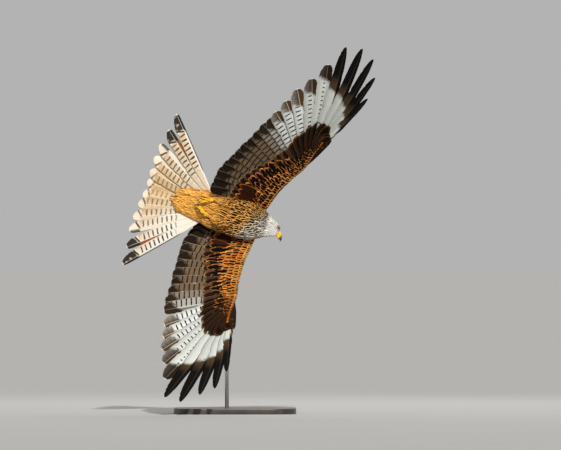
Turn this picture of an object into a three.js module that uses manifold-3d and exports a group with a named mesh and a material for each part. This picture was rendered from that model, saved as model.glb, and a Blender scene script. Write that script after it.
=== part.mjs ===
// A life-size red kite banking in flight on a plain display stand.
// Millimetres, +Z up, origin under the middle of the base.
// The bird is built in its own frame: x forward along the back, y to its left, z up out of its back.
import * as THREE from 'three';
import Module from 'manifold-3d';

const wasm = await Module();
wasm.setup();

const degree = Math.PI / 180;
const gap = 0.3; // clear space between parts that touch

// stand
const baseSize = { x: 440, y: 400, height: 20, corner: 90, bevel: 3 };
const postRadius = 7;
const postPlace = { x: -30, y: 128 };
const armRadius = 6;

// pose of the whole bird
const bodyCentre = new THREE.Vector3(22, 12, 703);
const heading = 20 * degree; // beak end of the back dips this far under the horizontal
const nosePitch = 4 * degree; // and leans this far out of the picture plane
const bank = 3 * degree; // roll of the back past upright on its side

// torso, neck and head
const bodySides = 20;
const torsoSections = [
  { x: -132, y: 6, z: 4, half: 61, up: 27, down: 37 },
  { x: -112, y: 4, z: 2, half: 67, up: 36, down: 44 },
  { x: -80, y: 2, z: 0, half: 72, up: 45, down: 51 },
  { x: -40, y: 1, z: 0, half: 73, up: 52, down: 56 },
  { x: 5, y: 0, z: 0, half: 72, up: 54, down: 59 },
  { x: 42, y: 0, z: 1, half: 67, up: 51, down: 58 },
  { x: 72, y: -2, z: 2, half: 56, up: 45, down: 50 },
];
const neckSteps = 4;
const headCentre = new THREE.Vector3(139.9, 16, 670.4);
const headDip = 50 * degree;
const headRoll = 68 * degree;
const neckTurn = 4; // ring places by which the rolled head's rings are turned against the body's
// cuts through the head, from the collar to the bill: crown and throat points as [x, z], half width,
// and the share of the depth from the crown at which it is widest
const headSections = [
  { crown: [-28, 19], throat: [0, -57], half: 35, level: 0.46 },
  { crown: [-18, 20], throat: [6, -48], half: 30, level: 0.44 },
  { crown: [-7, 20], throat: [12, -38.5], half: 25.5, level: 0.42 },
  { crown: [3, 19], throat: [17, -31], half: 22.5, level: 0.42 },
  { crown: [11.5, 16.5], throat: [21, -26], half: 19.5, level: 0.44 },
  { crown: [19, 12.6], throat: [25, -21.5], half: 15.5, level: 0.46 },
  { crown: [27, 8.2], throat: [27, -16.6], half: 11, level: 0.5 },
];
const eyeRadius = 6.9;
const eyePlace = { x: 10.5, y: 13.4, z: 4 };
const lidThickness = 1.3;
const lidOpening = { length: 10, height: 8, from: 17.2, depth: 14 };
const billSections = [
  { x: 27, z: -2.5, half: 9.8, up: 10.2, down: 4.6 },
  { x: 33, z: -3, half: 8.4, up: 9.2, down: 4.6 },
  { x: 40, z: -5, half: 6.6, up: 8, down: 4.4 },
  { x: 47, z: -8.6, half: 4.8, up: 6.6, down: 4 },
  { x: 52.4, z: -13.5, half: 2.9, up: 4.4, down: 3.4 },
  { x: 54, z: -20, half: 0.9, up: 0.9, down: 0.9 },
];
const jawSections = [
  { x: 27, z: -7.4, half: 8.8, up: 0.4, down: 8.4 },
  { x: 34, z: -8, half: 7.2, up: 0.4, down: 7.4 },
  { x: 41, z: -10, half: 5.2, up: 0.4, down: 5.4 },
  { x: 46.5, z: -13.4, half: 2.8, up: 0.3, down: 2.6 },
];
const nostril = { x: 33, y: 8.9, z: 1.2, radius: 1.5 };
const mouth = { from: 15, to: 30, z: -7.2, height: 0.8 };
const brow = { radius: 2.6, back: [1, 15, 12], front: [20, 9.5, 9] };

// wings, measured in the wing's own space: x forward, y outward, z up, from the shoulder joint
const shoulder = { x: 58, y: 50, z: 28 };
const wingPose = {
  right: { side: -1, reach: 252, arm: [-26.2, -19, -32.6], hand: [0, -23.9, -25.1] },
  left: { side: 1, reach: 269, arm: [-6.5, 10.8, -28.8], hand: [11.6, 15.1, -42.3] },
};
const primaryReach = [272, 299, 336, 378, 439, 514, 514, 488, 426, 342]; // wrist to tip, inner to outer
const primaryFan = [-39.6, -29.9, -21.5, -12.9, -5.5, 0.4, 7.2, 13.8, 19.8, 24.6]; // forward of outward
const primaryWidth = [52, 52, 53, 54, 54, 54, 51, 46, 41, 34];
const secondaryCount = 11;
const secondaryTip = { back: -248, first: 83, step: -36, shortening: 120 };
const secondaryWidth = 54;
const primaryRoot = { first: 12, last: 102, slope: 0.54, back: -23 }; // along the hand bone, behind its front
const secondaryRoot = { outer: { x: -22, y: -2 }, inner: { x: -76, fromShoulder: 40 } };
const flightTilt = { hand: 8 * degree, arm: 5.5 * degree };
const fingerCount = 5; // the outer primaries that narrow to fingers
const greaterCovert = {
  hand: { reach: 96, width: 27 }, arm: { reach: 88, width: 38 }, root: 3.4, tip: 6.4, thinning: 0.065,
};
const medianCovert = {
  count: 8, length: 50, width: 36, root: 5, tip: 9.6, tilt: 4 * degree,
  outer: { x: -14, y: 26 }, inner: { x: -42, fromShoulder: 30 },
};
const alula = { reach: [112, 100, 86], slope: 0.42, width: 21, tilt: 6 * degree };
const vaneThickness = 0.8;
const shaftThickness = 1.5;

// tail
const tailCentre = { x: -64, y: 15, z: 0 };
const tailLift = 2 * degree;
const tailReach = [303, 311, 325, 340, 359, 390]; // from the middle pair outward
const tailFan = [4.3, 10.8, 19, 26.5, 35.6, 43.3];
const tailRoot = { inner: { x: -152, y: 6 }, outer: { x: -137, y: 58 }, middle: 4 };
const tailWidth = 50;
const tailSpread = 3.8; // each feather's line starts this far beside the last
const tailCovert = { pairs: { above: 2, below: 3 }, start: 92, reach: 206, fan: 19, spread: 15, width: 40 };

// legs
const footPlace = { front: { x: -108, y: 31 }, back: { x: -162, y: 9 } };
const toeRadius = 3;
const clawLength = 14;

const finish = {
  plumage: { color: 0xb5652a, roughness: 0.85 },
  pale: { color: 0xd8d2c4, roughness: 0.85 },
  wing: { color: 0x6b5140, roughness: 0.8 },
  tail: { color: 0xd9c3a0, roughness: 0.8 },
  yellow: { color: 0xe2b21c, roughness: 0.55 },
  horn: { color: 0x2a2724, roughness: 0.35 },
  eye: { color: 0xd8c890, roughness: 0.1 },
  base: { color: 0x3a3835, roughness: 0.45 },
  rod: { color: 0x9a9b9d, roughness: 0.3, metalness: 0.9 },
};

const vector = (x, y, z) => new THREE.Vector3(x, y, z);
const mix = (a, b, t) => a + (b - a) * t;

// repeatable scatter from -1 to 1 for the n-th of a kind
const scatter = (n) => {
  const s = Math.sin(n * 127.1 + 311.7) * 43758.5453;
  return 2 * (s - Math.floor(s)) - 1;
};

// closed triangle mesh over a row of rings; paired rings split alike on the upper and the under face
function skin(rings, paired = false) {
  const sides = rings[0].length;
  const points = rings.flat();
  const faces = [];
  for (let i = 0; i + 1 < rings.length; i += 1) {
    for (let j = 0; j < sides; j += 1) {
      const a = i * sides + j;
      const b = i * sides + ((j + 1) % sides);
      const c = b + sides;
      const d = a + sides;
      if (paired && j >= sides / 2) faces.push([a, b, d], [b, c, d]);
      else faces.push([a, b, c], [a, c, d]);
    }
  }
  const last = (rings.length - 1) * sides;
  for (let j = 1; j + 1 < sides; j += 1) {
    faces.push([0, j + 1, j], [last, last + j, last + j + 1]);
  }
  return { points, faces };
}

// a solid from a mesh, whichever way round its faces were listed
function solid({ points, faces }) {
  let volume = 0;
  for (const [a, b, c] of faces) volume += points[a].dot(points[b].clone().cross(points[c]));
  const outward = volume > 0 ? faces : faces.map(([a, b, c]) => [a, c, b]);
  const vertProperties = new Float32Array(points.flatMap((p) => [p.x, p.y, p.z]));
  const mesh = new wasm.Mesh({ numProp: 3, vertProperties, triVerts: new Uint32Array(outward.flat()) });
  return new wasm.Manifold(mesh);
}

// the largest closed surface of a solid
function whole(shape) {
  const pieces = shape.decompose();
  return pieces.reduce((best, piece) => (piece.volume() > best.volume() ? piece : best));
}

function join(shapes) {
  return whole(wasm.Manifold.union(shapes));
}

function geometryOf(shape) {
  const { vertProperties, triVerts } = shape.getMesh();
  const geometry = new THREE.BufferGeometry();
  geometry.setAttribute('position', new THREE.BufferAttribute(new Float32Array(vertProperties), 3));
  geometry.setIndex(new THREE.BufferAttribute(new Uint32Array(triVerts), 1));
  geometry.computeVertexNormals();
  return geometry;
}

function node(name, shape, look) {
  const mesh = new THREE.Mesh(geometryOf(shape), new THREE.MeshStandardMaterial(finish[look]));
  mesh.name = name;
  return mesh;
}

// the shape of a three.js geometry as a solid
function solidOf(geometry) {
  const position = geometry.getAttribute('position');
  const keys = new Map();
  const points = [];
  const link = [];
  for (let i = 0; i < position.count; i += 1) {
    const p = vector(position.getX(i), position.getY(i), position.getZ(i));
    const key = [p.x, p.y, p.z].map((v) => Math.round(v * 1e4)).join();
    if (!keys.has(key)) keys.set(key, points.push(p) - 1);
    link.push(keys.get(key));
  }
  const index = geometry.index ? [...geometry.index.array] : link.map((_, i) => i);
  const faces = [];
  for (let i = 0; i < index.length; i += 3) {
    const face = [link[index[i]], link[index[i + 1]], link[index[i + 2]]];
    if (new Set(face).size === 3) faces.push(face);
  }
  return solid({ points, faces });
}

// frame of the bird in the world
function birdFrame() {
  const ahead = vector(Math.cos(heading), 0, -Math.sin(heading));
  const above = vector(Math.sin(heading), 0, Math.cos(heading));
  const viewer = vector(0, -1, 0);
  const [c, s] = [Math.cos(nosePitch), Math.sin(nosePitch)];
  const forward = ahead.clone().multiplyScalar(c).addScaledVector(viewer, s);
  const belly = ahead.clone().multiplyScalar(-s).addScaledVector(viewer, c);
  const left = above.clone().multiplyScalar(-Math.cos(bank)).addScaledVector(belly, -Math.sin(bank));
  const back = forward.clone().cross(left);
  return new THREE.Matrix4().makeBasis(forward, left, back).setPosition(bodyCentre);
}

// frame of the head in the world: dipped in the picture plane, rolled towards upright
function headFrame() {
  const forward = vector(Math.cos(headDip), 0, -Math.sin(headDip));
  const aside = vector(Math.sin(headDip), 0, Math.cos(headDip));
  const crown = aside.multiplyScalar(Math.sin(headRoll)).add(vector(0, Math.cos(headRoll), 0));
  const left = crown.clone().cross(forward);
  return new THREE.Matrix4().makeBasis(forward, left, crown).setPosition(headCentre);
}

const bird = birdFrame();
const headInBird = bird.clone().invert().multiply(headFrame());

// one oval ring: upper and lower halves have their own heights
function ovalRing({ x, y = 0, z, half, up, down }, sides, grow = 0, power = 0.9) {
  return Array.from({ length: sides }, (_, i) => {
    const turn = (2 * Math.PI * (i + 0.5)) / sides;
    const side = Math.cos(turn);
    const rise = Math.sin(turn);
    const height = (rise > 0 ? up : down) + grow;
    return vector(
      x,
      y + Math.sign(side) * Math.abs(side) ** power * (half + grow),
      z + Math.sign(rise) * Math.abs(rise) ** power * height,
    );
  });
}

// rows of sections eased into more rows
function easedSections(sections, steps) {
  const keys = Object.keys(sections[0]);
  const curve = (key) => new THREE.CatmullRomCurve3(sections.map((s) => vector(s[key], 0, 0)));
  const curves = keys.map((key) => curve(key));
  return Array.from({ length: steps + 1 }, (_, i) =>
    Object.fromEntries(keys.map((key, k) => [key, curves[k].getPoint(i / steps).x])),
  );
}

function torsoRings(grow = 0) {
  return easedSections(torsoSections, 12).map((s) => ovalRing(s, bodySides, grow));
}

// a ring of the head, in the head's frame: an upright oval tipped so that it runs from crown to throat
function headRing({ crownX, crownZ, throatX, throatZ, half, level }, grow = 0, shift = 0) {
  const depth = Math.hypot(crownX - throatX, crownZ - throatZ);
  const tip = Math.atan2(throatX - crownX, crownZ - throatZ);
  const centre = vector(mix(crownX, throatX, level), 0, mix(crownZ, throatZ, level));
  const size = { x: shift, z: 0, half, up: depth * level, down: depth * (1 - level) };
  return ovalRing(size, bodySides, grow).map((p) => p.applyAxisAngle(vector(0, 1, 0), -tip).add(centre));
}

const headRows = headSections.map(({ crown, throat, half, level }) => (
  { crownX: crown[0], crownZ: crown[1], throatX: throat[0], throatZ: throat[1], half, level }
));

// the neck runs from the torso's front ring to the head's collar, each ring point along its own line
function neckRings(grow = 0) {
  const front = { ...torsoSections[torsoSections.length - 1] };
  const start = ovalRing({ ...front, x: front.x + gap }, bodySides, grow);
  const collar = headRing(headRows[0], grow, -gap).map((p) => p.applyMatrix4(headInBird));
  return Array.from({ length: neckSteps + 1 }, (_, i) =>
    start.map((p, j) => p.clone().lerp(collar[(j + bodySides - neckTurn) % bodySides], i / neckSteps)),
  );
}

const torso = solid(skin(torsoRings()));
const torsoClear = solid(skin(torsoRings(gap)));
const neckClear = solid(skin(neckRings(gap)));

// feather outlines: share of the length, share of the width and share of the thickness
const flightStations = (waist, tipWidth) => [
  [0, 0.28, 1], [0.34, 0.92, 1], [0.64, 1, 1],
  [0.87, waist, 0.8], [0.96, waist * 0.78, 0.6], [1, waist * tipWidth, 0.4],
];
const covertStations = [[0, 0.4, 1], [0.55, 1, 1], [0.88, 0.88, 0.8], [1, 0.36, 0.5]];
const shortStations = [[0, 0.5, 1], [0.8, 1, 0.9], [1, 0.45, 0.5]];

// one feather vane from root to tip: its outer half is lifted by tilt so that it lies over its neighbour,
// bow sinks its middle below the straight line and a plain one has no raised shaft
function vane(options) {
  const { root, tip, lift, lead, outer, inner, tilt, bow, sweep = 0, plain = false } = options;
  const { waist = 1, tipWidth = 0.4, stations = flightStations(waist, tipWidth) } = options;
  const along = tip.clone().sub(root);
  const length = along.length();
  along.divideScalar(length);
  const side = lead.clone().addScaledVector(along, -lead.dot(along)).normalize();
  const rise = side.clone().cross(along);
  if (rise.dot(lift) < 0) rise.negate();
  const across = side.clone().multiplyScalar(Math.cos(tilt)).addScaledVector(rise, Math.sin(tilt));
  const normal = rise.clone().multiplyScalar(Math.cos(tilt)).addScaledVector(side, -Math.sin(tilt));
  const rings = stations.map(([t, width, thick]) => {
    const arch = length * t * (1 - t);
    const centre = root.clone().addScaledVector(along, length * t);
    centre.addScaledVector(rise, -bow * arch).addScaledVector(side, 4 * sweep * arch);
    const edge = (vaneThickness / 2) * thick;
    const shaft = (shaftThickness / 2) * thick * mix(1, 0.6, t);
    const place = (w, h) => centre.clone().addScaledVector(across, w * width).addScaledVector(normal, h);
    const upper = [place(outer, edge), place(-inner, edge)];
    const under = [place(-inner, -edge), place(outer, -edge)];
    if (plain) return [...upper, ...under];
    return [upper[0], place(0, shaft), upper[1], under[0], place(0, -shaft), under[1]];
  });
  return solid(skin(rings, true));
}

// places and directions in one wing; the plane's twist and raise pass from the arm's to the hand's by share,
// and part, 'arm' or 'hand', says from which line forward and outward are measured about the wrist
function wingLayout(pose) {
  const turn = (part, share) => {
    const [, armTwist, armRaise] = pose.arm;
    const [, handTwist, handRaise] = pose.hand;
    return new THREE.Matrix4()
      .makeRotationX(mix(armRaise, handRaise, share) * degree)
      .multiply(new THREE.Matrix4().makeRotationY(mix(armTwist, handTwist, share) * degree))
      .multiply(new THREE.Matrix4().makeRotationZ(pose[part][0] * degree));
  };
  const wrist = vector(0, pose.reach, 0).applyMatrix4(turn('arm', 0));
  const place = (part, x, y, z, share) => {
    const p = vector(x, y, z).applyMatrix4(turn(part, share)).add(wrist);
    return vector(shoulder.x + p.x, pose.side * (shoulder.y + p.y), shoulder.z + p.z);
  };
  const turned = (part, x, y, z, share) => {
    const d = vector(x, y, z).applyMatrix4(turn(part, share));
    return vector(d.x, pose.side * d.y, d.z);
  };
  return { pose, place, turned };
}

// flesh of the wing: a flat loft from inside the shoulder to the hand's end, leading edge at x = front
function wingCore({ pose, place }) {
  const reach = pose.reach;
  const sections = [
    { y: -reach - 30, front: 22, back: -88, thick: 10, hand: 0 },
    { y: -reach + 12, front: 12, back: -98, thick: 10, hand: 0 },
    { y: -reach * 0.6, front: -3, back: -98, thick: 8, hand: 0 },
    { y: -reach * 0.3, front: -4, back: -74, thick: 7, hand: 0.1 },
    { y: -18, front: 3, back: -42, thick: 6, hand: 0.35 },
    { y: 14, front: 9, back: -32, thick: 5.4, hand: 0.7 },
    { y: 60, front: 26, back: -8, thick: 4, hand: 1 },
    { y: primaryRoot.last + 6, front: 43, back: 24, thick: 2.2, hand: 1 },
  ];
  const outline = [
    [1, 0.1], [0.86, 0.75], [0.6, 1], [0.25, 0.66], [0, 0.12],
    [0, -0.12], [0.25, -0.66], [0.6, -1], [0.86, -0.75], [1, -0.1],
  ];
  const rings = sections.map(({ y, front, back, thick, hand }) =>
    outline.map(([u, v]) => place(y > 0 ? 'hand' : 'arm', mix(back, front, u), y, v * thick, hand)),
  );
  return solid(skin(rings));
}

// root and tip of every flight feather in the wing's plane: primaries from the inner one, then secondaries
function flightLines({ pose }) {
  const lines = primaryReach.map((reach, i) => {
    const out = mix(primaryRoot.first, primaryRoot.last, i / 9);
    const fan = primaryFan[i] * degree;
    const isFinger = i >= primaryReach.length - fingerCount;
    return {
      part: 'hand', root: [primaryRoot.slope * out + primaryRoot.back, out],
      tip: [reach * Math.sin(fan), reach * Math.cos(fan)], rootShare: 1, share: Math.min(1, 0.55 + i * 0.12),
      lead: [1, 0.3], width: primaryWidth[i], bow: isFinger ? 0.06 : 0.03, waist: isFinger ? 0.86 : 0.95,
    };
  });
  const { outer, inner } = secondaryRoot;
  const { back, first, step, shortening } = secondaryTip;
  for (let i = 0; i < secondaryCount; i += 1) {
    const t = i / (secondaryCount - 1);
    const share = Math.max(0, 0.4 - i * 0.13);
    const tipBack = back + 3 * scatter(i + 20) + shortening * Math.max(0, t - 0.75);
    lines.push({
      part: 'arm',
      root: [mix(outer.x, inner.x, Math.min(1, t * 1.5)), mix(outer.y, inner.fromShoulder - pose.reach, t)],
      tip: [tipBack, first + step * i + 2 * scatter(i + 40)], rootShare: share, share,
      lead: [0, 1], width: secondaryWidth, bow: 0.03, waist: 0.95,
    });
  }
  return lines;
}

function flightFeathers(layout) {
  const { place, turned } = layout;
  return flightLines(layout).map(({ part, root, tip, rootShare, share, lead, width, bow, waist }, i) =>
    vane({
      root: place(part, ...root, 0, rootShare), tip: place(part, ...tip, 0, share),
      lift: turned(part, 0, 0, 1, share), lead: turned(part, ...lead, 0, share),
      outer: width * 0.39, inner: width * 0.61, tilt: flightTilt[part], bow, waist,
      sweep: part === 'hand' ? 0.012 : 0, tipWidth: 0.42 + 0.05 * scatter(i), plain: part === 'arm',
    }),
  );
}

// greater coverts lie over the flight feathers' roots, one to a feather, and follow their curve;
// face is 1 above the wing and -1 below
function greaterCoverts(layout, face) {
  const { place, turned } = layout;
  return flightLines(layout).map(({ part, root, tip, rootShare, share, lead, bow }, i) => {
    const size = greaterCovert[part];
    const length = Math.hypot(tip[0] - root[0], tip[1] - root[1]);
    const cover = (size.reach * (1 + 0.04 * scatter(i + 60))) / length;
    const end = root.map((r, k) => mix(r, tip[k], cover));
    const sunk = bow * length * (cover * cover - cover);
    const rootHeight = greaterCovert.root * (part === 'hand' ? 1 - greaterCovert.thinning * i : 1);
    return vane({
      root: place(part, ...root, face * rootHeight, rootShare),
      tip: place(part, ...end, face * greaterCovert.tip + sunk, share),
      lift: turned(part, 0, 0, 1, share), lead: turned(part, ...lead, 0, share),
      outer: size.width * 0.4, inner: size.width * 0.6, tilt: flightTilt[part], bow: bow * cover,
      stations: part === 'hand' ? shortStations : covertStations, plain: true,
    });
  });
}

// median coverts: a shorter row nearer the leading edge
function medianCoverts(layout, face) {
  const { pose, place, turned } = layout;
  const { count, length, width, tilt, outer, inner } = medianCovert;
  return Array.from({ length: count }, (_, i) => {
    const t = (i + 0.5) / count;
    const y = mix(outer.y, inner.fromShoulder - pose.reach, t);
    const part = y > 0 ? 'hand' : 'arm';
    const share = Math.max(0, 0.6 - t * 2);
    const front = mix(outer.x, inner.x, Math.min(1, t * 1.6));
    const back = front - length * (1 + 0.05 * scatter(i + 90));
    return vane({
      root: place(part, front, y, face * medianCovert.root, share),
      tip: place(part, back, y + mix(18, -6, t), face * medianCovert.tip, share),
      lift: turned(part, 0, 0, 1, share), lead: turned(part, 0, 1, 0, share),
      outer: width * 0.42, inner: width * 0.58, tilt, bow: 0, stations: shortStations, plain: true,
    });
  });
}

// a few stiff vanes off the front of the wrist, each a little behind and below the one before
function alulaFeathers({ place, turned }) {
  const { slope, width, tilt } = alula;
  return alula.reach.map((reach, i) =>
    vane({
      root: place('hand', 3 - i * 2, 10 - i * 3, 2.4 - i * 1.4, 1),
      tip: place('hand', slope * reach + 9 - i * 5, reach, 4.5 - i * 2.6, 1),
      lift: turned('hand', 0, 0, 1, 1), lead: turned('hand', 1, 0, 0, 1),
      outer: width / 3, inner: (width * 2) / 3, tilt, bow: 0, stations: covertStations,
    }),
  );
}

function wing(name) {
  const layout = wingLayout(wingPose[name]);
  const shapes = [wingCore(layout), ...flightFeathers(layout), ...alulaFeathers(layout)];
  for (const face of [1, -1]) shapes.push(...greaterCoverts(layout, face), ...medianCoverts(layout, face));
  return whole(join(shapes).subtract(torsoClear).subtract(neckClear));
}

// a point of the tail: distance and angle about the point where the middle feathers' lines meet
function tailPlace(distance, angle, across, height) {
  const p = vector(-distance * Math.cos(angle), across + distance * Math.sin(angle), height);
  p.applyAxisAngle(vector(0, 1, 0), tailLift);
  return p.add(vector(tailCentre.x, tailCentre.y, tailCentre.z));
}

function tailCore() {
  const rings = easedSections([
    { x: 132.3 + gap, half: 62, up: 26, down: 36 },
    { x: 148, half: 61, up: 22, down: 32 },
    { x: 172, half: 48, up: 16, down: 25 },
    { x: 198, half: 32, up: 9, down: 16 },
    { x: 224, half: 14, up: 4, down: 7 },
  ], 6).map((s) => ovalRing({ ...s, x: -s.x, y: 5 + (s.x - 132) * 0.06, z: 4 }, 16));
  return solid(skin(rings));
}

function tailFeathers() {
  const shapes = [];
  for (const side of [-1, 1]) {
    tailReach.forEach((reach, i) => {
      const angle = side * tailFan[i] * degree;
      const across = side * tailSpread * (i + 0.5);
      const { inner, outer, middle } = tailRoot;
      const height = 5 - i * 1.5 + (side > 0 ? 0 : 1.2);
      const [rootX, rootY] = [mix(inner.x, outer.x, i / 5), mix(inner.y, outer.y, i / 5)];
      shapes.push(vane({
        root: vector(rootX, middle + side * rootY, height + 3), tip: tailPlace(reach, angle, across, height),
        lift: vector(0, 0, 1), lead: vector(0, side, 0),
        outer: tailWidth * 0.42, inner: tailWidth * 0.58, tilt: 3 * degree, bow: 0.02, tipWidth: 0.5,
      }));
    });
  }
  return shapes;
}

// coverts over and under the tail's root, longest in the middle
function tailCoverts(face) {
  const { start, reach, fan, spread, width } = tailCovert;
  const pairs = face > 0 ? tailCovert.pairs.above : tailCovert.pairs.below;
  const shapes = [];
  for (let i = -pairs; i <= pairs; i += 1) {
    const share = Math.abs(i) / pairs;
    const angle = (i / pairs) * fan * degree;
    const height = face > 0 ? 9 + 3.5 * (1 - share) : -9 - 9 * (1 - share);
    const length = reach * (1 - 0.16 * share * share) * (1 + 0.02 * scatter(i + 130));
    const across = (i / pairs) * spread;
    shapes.push(vane({
      root: tailPlace(start, angle, across, height * 0.9), tip: tailPlace(length, angle, across, height),
      lift: vector(0, 0, 1), lead: vector(0, i > 0 ? 1 : -1, 0),
      outer: width * 0.5, inner: width * 0.5, tilt: 7 * face * degree, bow: face * -0.03,
      stations: covertStations, plain: true,
    }));
  }
  return shapes;
}

function tail() {
  const shapes = [tailCore(), ...tailFeathers(), ...tailCoverts(1), ...tailCoverts(-1)];
  return whole(join(shapes).subtract(torsoClear));
}

function ball(radius, detail = 12) {
  return solidOf(new THREE.SphereGeometry(radius, detail, Math.round(detail * 0.7)));
}

function head() {
  const rings = easedSections(headRows, 10).map((s) => headRing(s));
  let shape = solid(skin(rings));
  for (const side of [-1, 1]) {
    const at = [eyePlace.x, side * eyePlace.y, eyePlace.z];
    const lid = ball(eyeRadius + lidThickness).translate(at);
    const [back, front] = [brow.back, brow.front].map(([x, y, z]) => vector(x, side * y, z));
    const ridge = limb([back, back.clone().lerp(front, 0.5).add(vector(0, side, 1)), front],
      [brow.radius * 0.4, brow.radius, brow.radius, brow.radius * 0.5], 8);
    shape = shape.add(lid).add(ridge).subtract(ball(eyeRadius + gap).translate(at));
    const { length, height, from, depth } = lidOpening;
    const opening = solidOf(new THREE.BoxGeometry(length, depth, height));
    shape = shape.subtract(opening.translate([eyePlace.x, side * (from + depth / 2), eyePlace.z]));
  }
  const { from, to, z, height } = mouth;
  const line = solidOf(new THREE.BoxGeometry(to - from, 40, height)).translate([(from + to) / 2, 0, z]);
  return whole(shape.subtract(line));
}

function bill() {
  const rings = easedSections(billSections, 8).map((s) => ovalRing({ ...s, x: s.x + gap }, 10));
  let shape = solid(skin(rings));
  for (const side of [-1, 1]) {
    shape = shape.subtract(ball(nostril.radius, 8).translate([nostril.x, side * nostril.y, nostril.z]));
  }
  return whole(shape);
}

function jaw() {
  const rings = jawSections.map((s) => ovalRing({ ...s, x: s.x + gap }, 10));
  const upper = solid(skin(easedSections(billSections, 8).map((s) => ovalRing(s, 10, gap))));
  return whole(solid(skin(rings)).subtract(upper));
}

// a tube of rings through points in the bird's frame
function limb(points, radii, sides = 8) {
  const path = new THREE.CatmullRomCurve3(points);
  const steps = radii.length - 1;
  const rings = radii.map((radius, i) => {
    const t = i / steps;
    const along = path.getTangent(t);
    const side = vector(0, 0, 1).cross(along).normalize();
    const up = along.clone().cross(side);
    return Array.from({ length: sides }, (_, j) => {
      const turn = (2 * Math.PI * j) / sides;
      return path.getPoint(t).addScaledVector(side, Math.cos(turn) * radius)
        .addScaledVector(up, Math.sin(turn) * radius);
    });
  });
  return solid(skin(rings));
}

function bellyDepth(x) {
  const rows = easedSections(torsoSections, 40);
  const row = rows.reduce((best, s) => (Math.abs(s.x - x) < Math.abs(best.x - x) ? s : best));
  return row.z - row.down;
}

function thigh(side) {
  const points = [vector(-20, side * 36, -38), vector(-62, side * 37, -47), vector(-101, side * 32, -46)];
  const shape = limb(points, [6, 18, 21, 19, 12, 5], 12);
  return whole(shape.subtract(torsoClear));
}

// knuckle and toe tips of one foot, folded back along the belly
function footLayout(side) {
  const { front, back } = footPlace;
  const depth = bellyDepth(front.x) - toeRadius - 3;
  const at = (t, across, lift) => {
    const y = mix(front.y, back.y, t) + across;
    return vector(mix(front.x, back.x, t), side * y, depth + lift);
  };
  const toes = [-1, 0, 1].map((i) => {
    const tip = at(i === 0 ? 1 : 0.84, 2 + i * 7, 1.5);
    return [at(0.35, 0, 0.5), at(0.65, 1 + i * 5.5, -1.2), tip];
  });
  toes.push([at(0.35, 1, -1), at(0.5, 5, -5), at(0.66, 6, -6)]);
  return { ankle: at(0, 0, 0), knuckle: at(0.35, 0, 0.5), toes };
}

function foot(side) {
  const { ankle, knuckle, toes } = footLayout(side);
  const radii = [toeRadius, toeRadius, toeRadius * 0.9, toeRadius * 0.6];
  const shapes = toes.map((toe) => limb(toe, radii, 7));
  return whole(join([limb([ankle, knuckle], [4.4, 3.9, 4.4], 8), ...shapes]).subtract(torsoClear));
}

// a curved claw that goes on from the end of its toe
function claw(toe) {
  const [, middle, tip] = toe;
  const ahead = tip.clone().sub(middle).normalize();
  const start = tip.clone().addScaledVector(ahead, gap);
  const bent = start.clone().addScaledVector(ahead, clawLength * 0.55).add(vector(0, 0, -0.8));
  const end = start.clone().addScaledVector(ahead, clawLength * 0.95).add(vector(0, 0, -clawLength * 0.4));
  return limb([start, bent, end], [toeRadius * 0.55, toeRadius * 0.45, toeRadius * 0.3, 0.3], 8);
}

function standBase() {
  const outline = new THREE.Shape();
  const { x, y, height, corner, bevel } = baseSize;
  const w = x / 2 - bevel;
  const d = y / 2 - bevel;
  [[w, -d], [w, d], [-w, d], [-w, -d]].forEach(([cornerX, cornerY], i) => {
    const start = (i - 1) * (Math.PI / 2);
    const centre = [cornerX - Math.sign(cornerX) * corner, cornerY - Math.sign(cornerY) * corner];
    outline.absarc(...centre, corner, start, start + Math.PI / 2);
  });
  outline.closePath();
  const geometry = new THREE.ExtrudeGeometry(outline, {
    depth: height - 2 * bevel, bevelThickness: bevel, bevelSize: bevel, bevelSegments: 1, curveSegments: 5,
  });
  geometry.translate(0, 0, bevel);
  return solidOf(geometry);
}

const postTop = bodyCentre.z - 4;

function standPost() {
  const height = postTop + armRadius + 6 - baseSize.height - gap;
  const geometry = new THREE.CylinderGeometry(postRadius, postRadius, height, 24);
  geometry.rotateX(Math.PI / 2);
  geometry.translate(postPlace.x, postPlace.y, baseSize.height + gap + height / 2);
  return solidOf(geometry);
}

function standArm() {
  const length = postPlace.y - postRadius - gap - 40;
  const geometry = new THREE.CylinderGeometry(armRadius, armRadius, length, 20);
  geometry.translate(postPlace.x, 40 + length / 2, postTop);
  const clear = torsoClear.transform(bird.elements);
  return whole(solidOf(geometry).subtract(clear));
}

const kite = new THREE.Group();
kite.applyMatrix4(bird);
kite.add(
  node('torso', torso, 'plumage'),
  node('neck', solid(skin(neckRings())), 'pale'),
  node('tail', tail(), 'tail'),
  node('wing_right', wing('right'), 'wing'),
  node('wing_left', wing('left'), 'wing'),
);
for (const [name, side] of [['right', -1], ['left', 1]]) {
  kite.add(node(`thigh_${name}`, thigh(side), 'plumage'));
  kite.add(node(`foot_${name}`, foot(side), 'yellow'));
  footLayout(side).toes.forEach((toe, i) => kite.add(node(`claw_${name}_${i + 1}`, claw(toe), 'horn')));
}
const headGroup = new THREE.Group();
headGroup.applyMatrix4(headInBird);
headGroup.add(
  node('head', head(), 'pale'),
  node('bill_upper', bill(), 'horn'),
  node('bill_lower', jaw(), 'yellow'),
);
for (const [name, side] of [['right', -1], ['left', 1]]) {
  const eye = node(`eye_${name}`, ball(eyeRadius, 12), 'eye');
  eye.position.set(eyePlace.x, side * eyePlace.y, eyePlace.z);
  headGroup.add(eye);
}
kite.add(headGroup);

const model = new THREE.Group();
model.add(
  kite,
  node('stand_base', standBase(), 'base'),
  node('stand_post', standPost(), 'rod'),
  node('stand_arm', standArm(), 'rod'),
);

export default model;
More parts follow.
